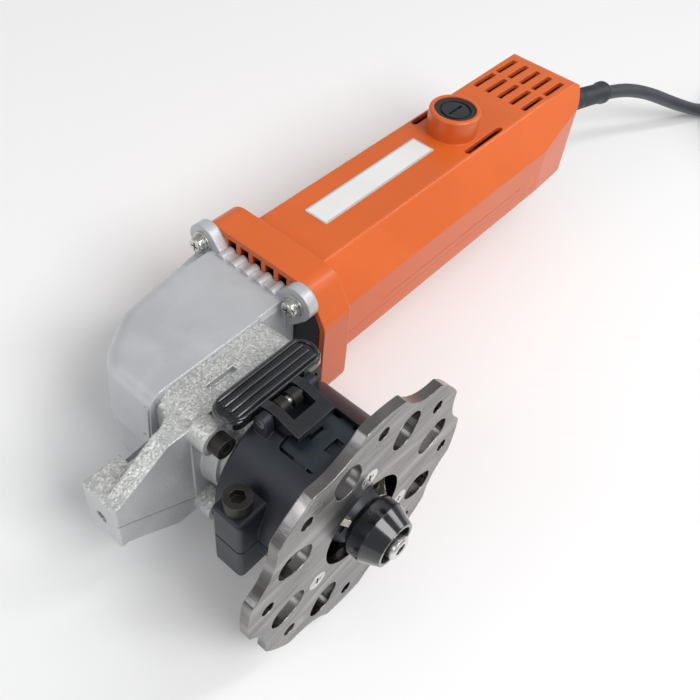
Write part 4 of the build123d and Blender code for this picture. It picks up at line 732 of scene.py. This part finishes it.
# Painted shade: faces that turn to the side are painted darker and bluer.
painted_side_shade = ramp(tree, facing[2], 0.30, -0.10, 0.0, 0.45)
recolour(tree, painted_side_shade, (0.40, 0.42, 0.47))
recolour(tree, dark_flakes, (0.30, 0.30, 0.27))
recolour(tree, painted_glints, (0.97, 0.96, 0.90))
hammer = node(tree, "ShaderNodeTexNoise", {"Vector": object_place, "Scale": 620.0, "Detail": 2.0})
hammer_height = maths(tree, "MULTIPLY", hammer.outputs["Fac"], ramp(tree, facing[2], 0.0, 0.8, 0.35, 1.0))
raise_surface(tree, hammer_height, 0.35)
ARM_LINE_SLOPE, ARM_LINE_DROP, ARM_LINE_HALF_WIDTH = 0.555, 31.9 * MM, 0.45 * MM
arm_line_span = (21.0 * MM, 60.0 * MM)
arm_line = maths(tree, "SUBTRACT", pz, maths(tree, "MULTIPLY", px, ARM_LINE_SLOPE))
arm_line = maths(tree, "ADD", arm_line, ARM_LINE_DROP)
arm_front = maths(tree, "MULTIPLY", ramp(tree, facing[1], 0.5, 0.8), between(tree, px, *arm_line_span))
arm_groove = maths(tree, "MULTIPLY", line_mask(tree, arm_line, ARM_LINE_HALF_WIDTH), arm_front)
recolour(tree, maths(tree, "MULTIPLY", arm_groove, 0.7), (0.12, 0.12, 0.13))

# %% Smooth silver, with painted shade on its steep sides
tree = finishes["smooth_silver"].node_tree
(px, py, pz), facing = split_place(tree)
# Painted shade: faces that turn to the side are painted darker and bluer.
recolour(tree, ramp(tree, facing[2], 0.45, -0.10, 0.0, 0.5), (0.40, 0.42, 0.46))
casting = node(tree, "ShaderNodeTexNoise", {"Vector": node(tree, "ShaderNodeTexCoord").outputs["Object"],
                                            "Scale": 850.0, "Detail": 3.0})
raise_surface(tree, casting.outputs["Fac"], 0.10)

# %% Polishing streaks and painted reflections on the guide plate
tree = finishes["plate_steel"].node_tree
place_group = group_node(tree, "tool_place")
streak_place = node(tree, "ShaderNodeMapping", {"Vector": place_group.outputs["Vector"],
                                                "Rotation": (0, math.radians(35), 0),
                                                "Scale": (18.0, 20.0, 95.0)})
streaks_and_painted_reflections = node(tree, "ShaderNodeTexNoise", {"Vector": streak_place.outputs["Vector"], "Scale": 1.0,
                                            "Detail": 5.0, "Distortion": 1.6})
# The streaks are partly polishing marks in the steel and partly painted reflections, laid into the colour
# as lighter and darker bands.
recolour(tree, ramp(tree, streaks_and_painted_reflections.outputs["Fac"], 0.50, 0.70, 0.0, 0.65), (0.46, 0.44, 0.43))
recolour(tree, ramp(tree, streaks_and_painted_reflections.outputs["Fac"], 0.46, 0.30, 0.0, 0.7), (0.10, 0.10, 0.105))
raise_surface(tree, streaks_and_painted_reflections.outputs["Fac"], 0.25)

# %% Parting line and painted side shade of the orange housing
tree = finishes["orange_plastic"].node_tree
(px, py, pz), facing = split_place(tree)
beside = maths(tree, "GREATER_THAN", maths(tree, "ABSOLUTE", facing[1]), 0.6)
SEAM_DROP, SEAM_HALF_WIDTH = 5.0 * MM, 0.5 * MM
seam_span = (-198.0 * MM, -60.0 * MM)
seam_distance = maths(tree, "ADD", pz, SEAM_DROP)
along_seam = between(tree, px, *seam_span)
seam = maths(tree, "MULTIPLY", line_mask(tree, seam_distance, SEAM_HALF_WIDTH), along_seam)
seam = maths(tree, "MULTIPLY", seam, beside)
recolour(tree, maths(tree, "MULTIPLY", seam, 0.55), (0.22, 0.035, 0.010))
# Painted shade: faces that turn to the side and down are painted a darker orange.
recolour(tree, ramp(tree, facing[2], 0.55, -0.25, 0.0, 0.6), (0.50, 0.070, 0.010))
moulding = node(tree, "ShaderNodeTexNoise", {"Vector": node(tree, "ShaderNodeTexCoord").outputs["Object"],
                                             "Scale": 60.0, "Detail": 2.0})
raise_surface(tree, moulding.outputs["Fac"], 0.12)

# %% Label border
tree = finishes["label"].node_tree
(px, py, pz), facing = split_place(tree)
label_low, label_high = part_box("label_plate")
label_middle = row_to_tool @ ((Vector(label_low) + Vector(label_high)) / 2)
LABEL_HALF_LENGTH, LABEL_HALF_WIDTH, LABEL_BORDER = 37.0 * MM, 6.15 * MM, 0.9 * MM
from_end = maths(tree, "ABSOLUTE", maths(tree, "SUBTRACT", px, label_middle.x))
from_side = maths(tree, "ABSOLUTE", maths(tree, "SUBTRACT", py, label_middle.y))
outside = maths(tree, "MAXIMUM", maths(tree, "GREATER_THAN", from_end, LABEL_HALF_LENGTH - LABEL_BORDER),
                maths(tree, "GREATER_THAN", from_side, LABEL_HALF_WIDTH - LABEL_BORDER))
recolour(tree, maths(tree, "MULTIPLY", outside, 0.8), (0.50, 0.50, 0.49))
print("label middle in tool mm", [round(v / MM, 1) for v in label_middle])
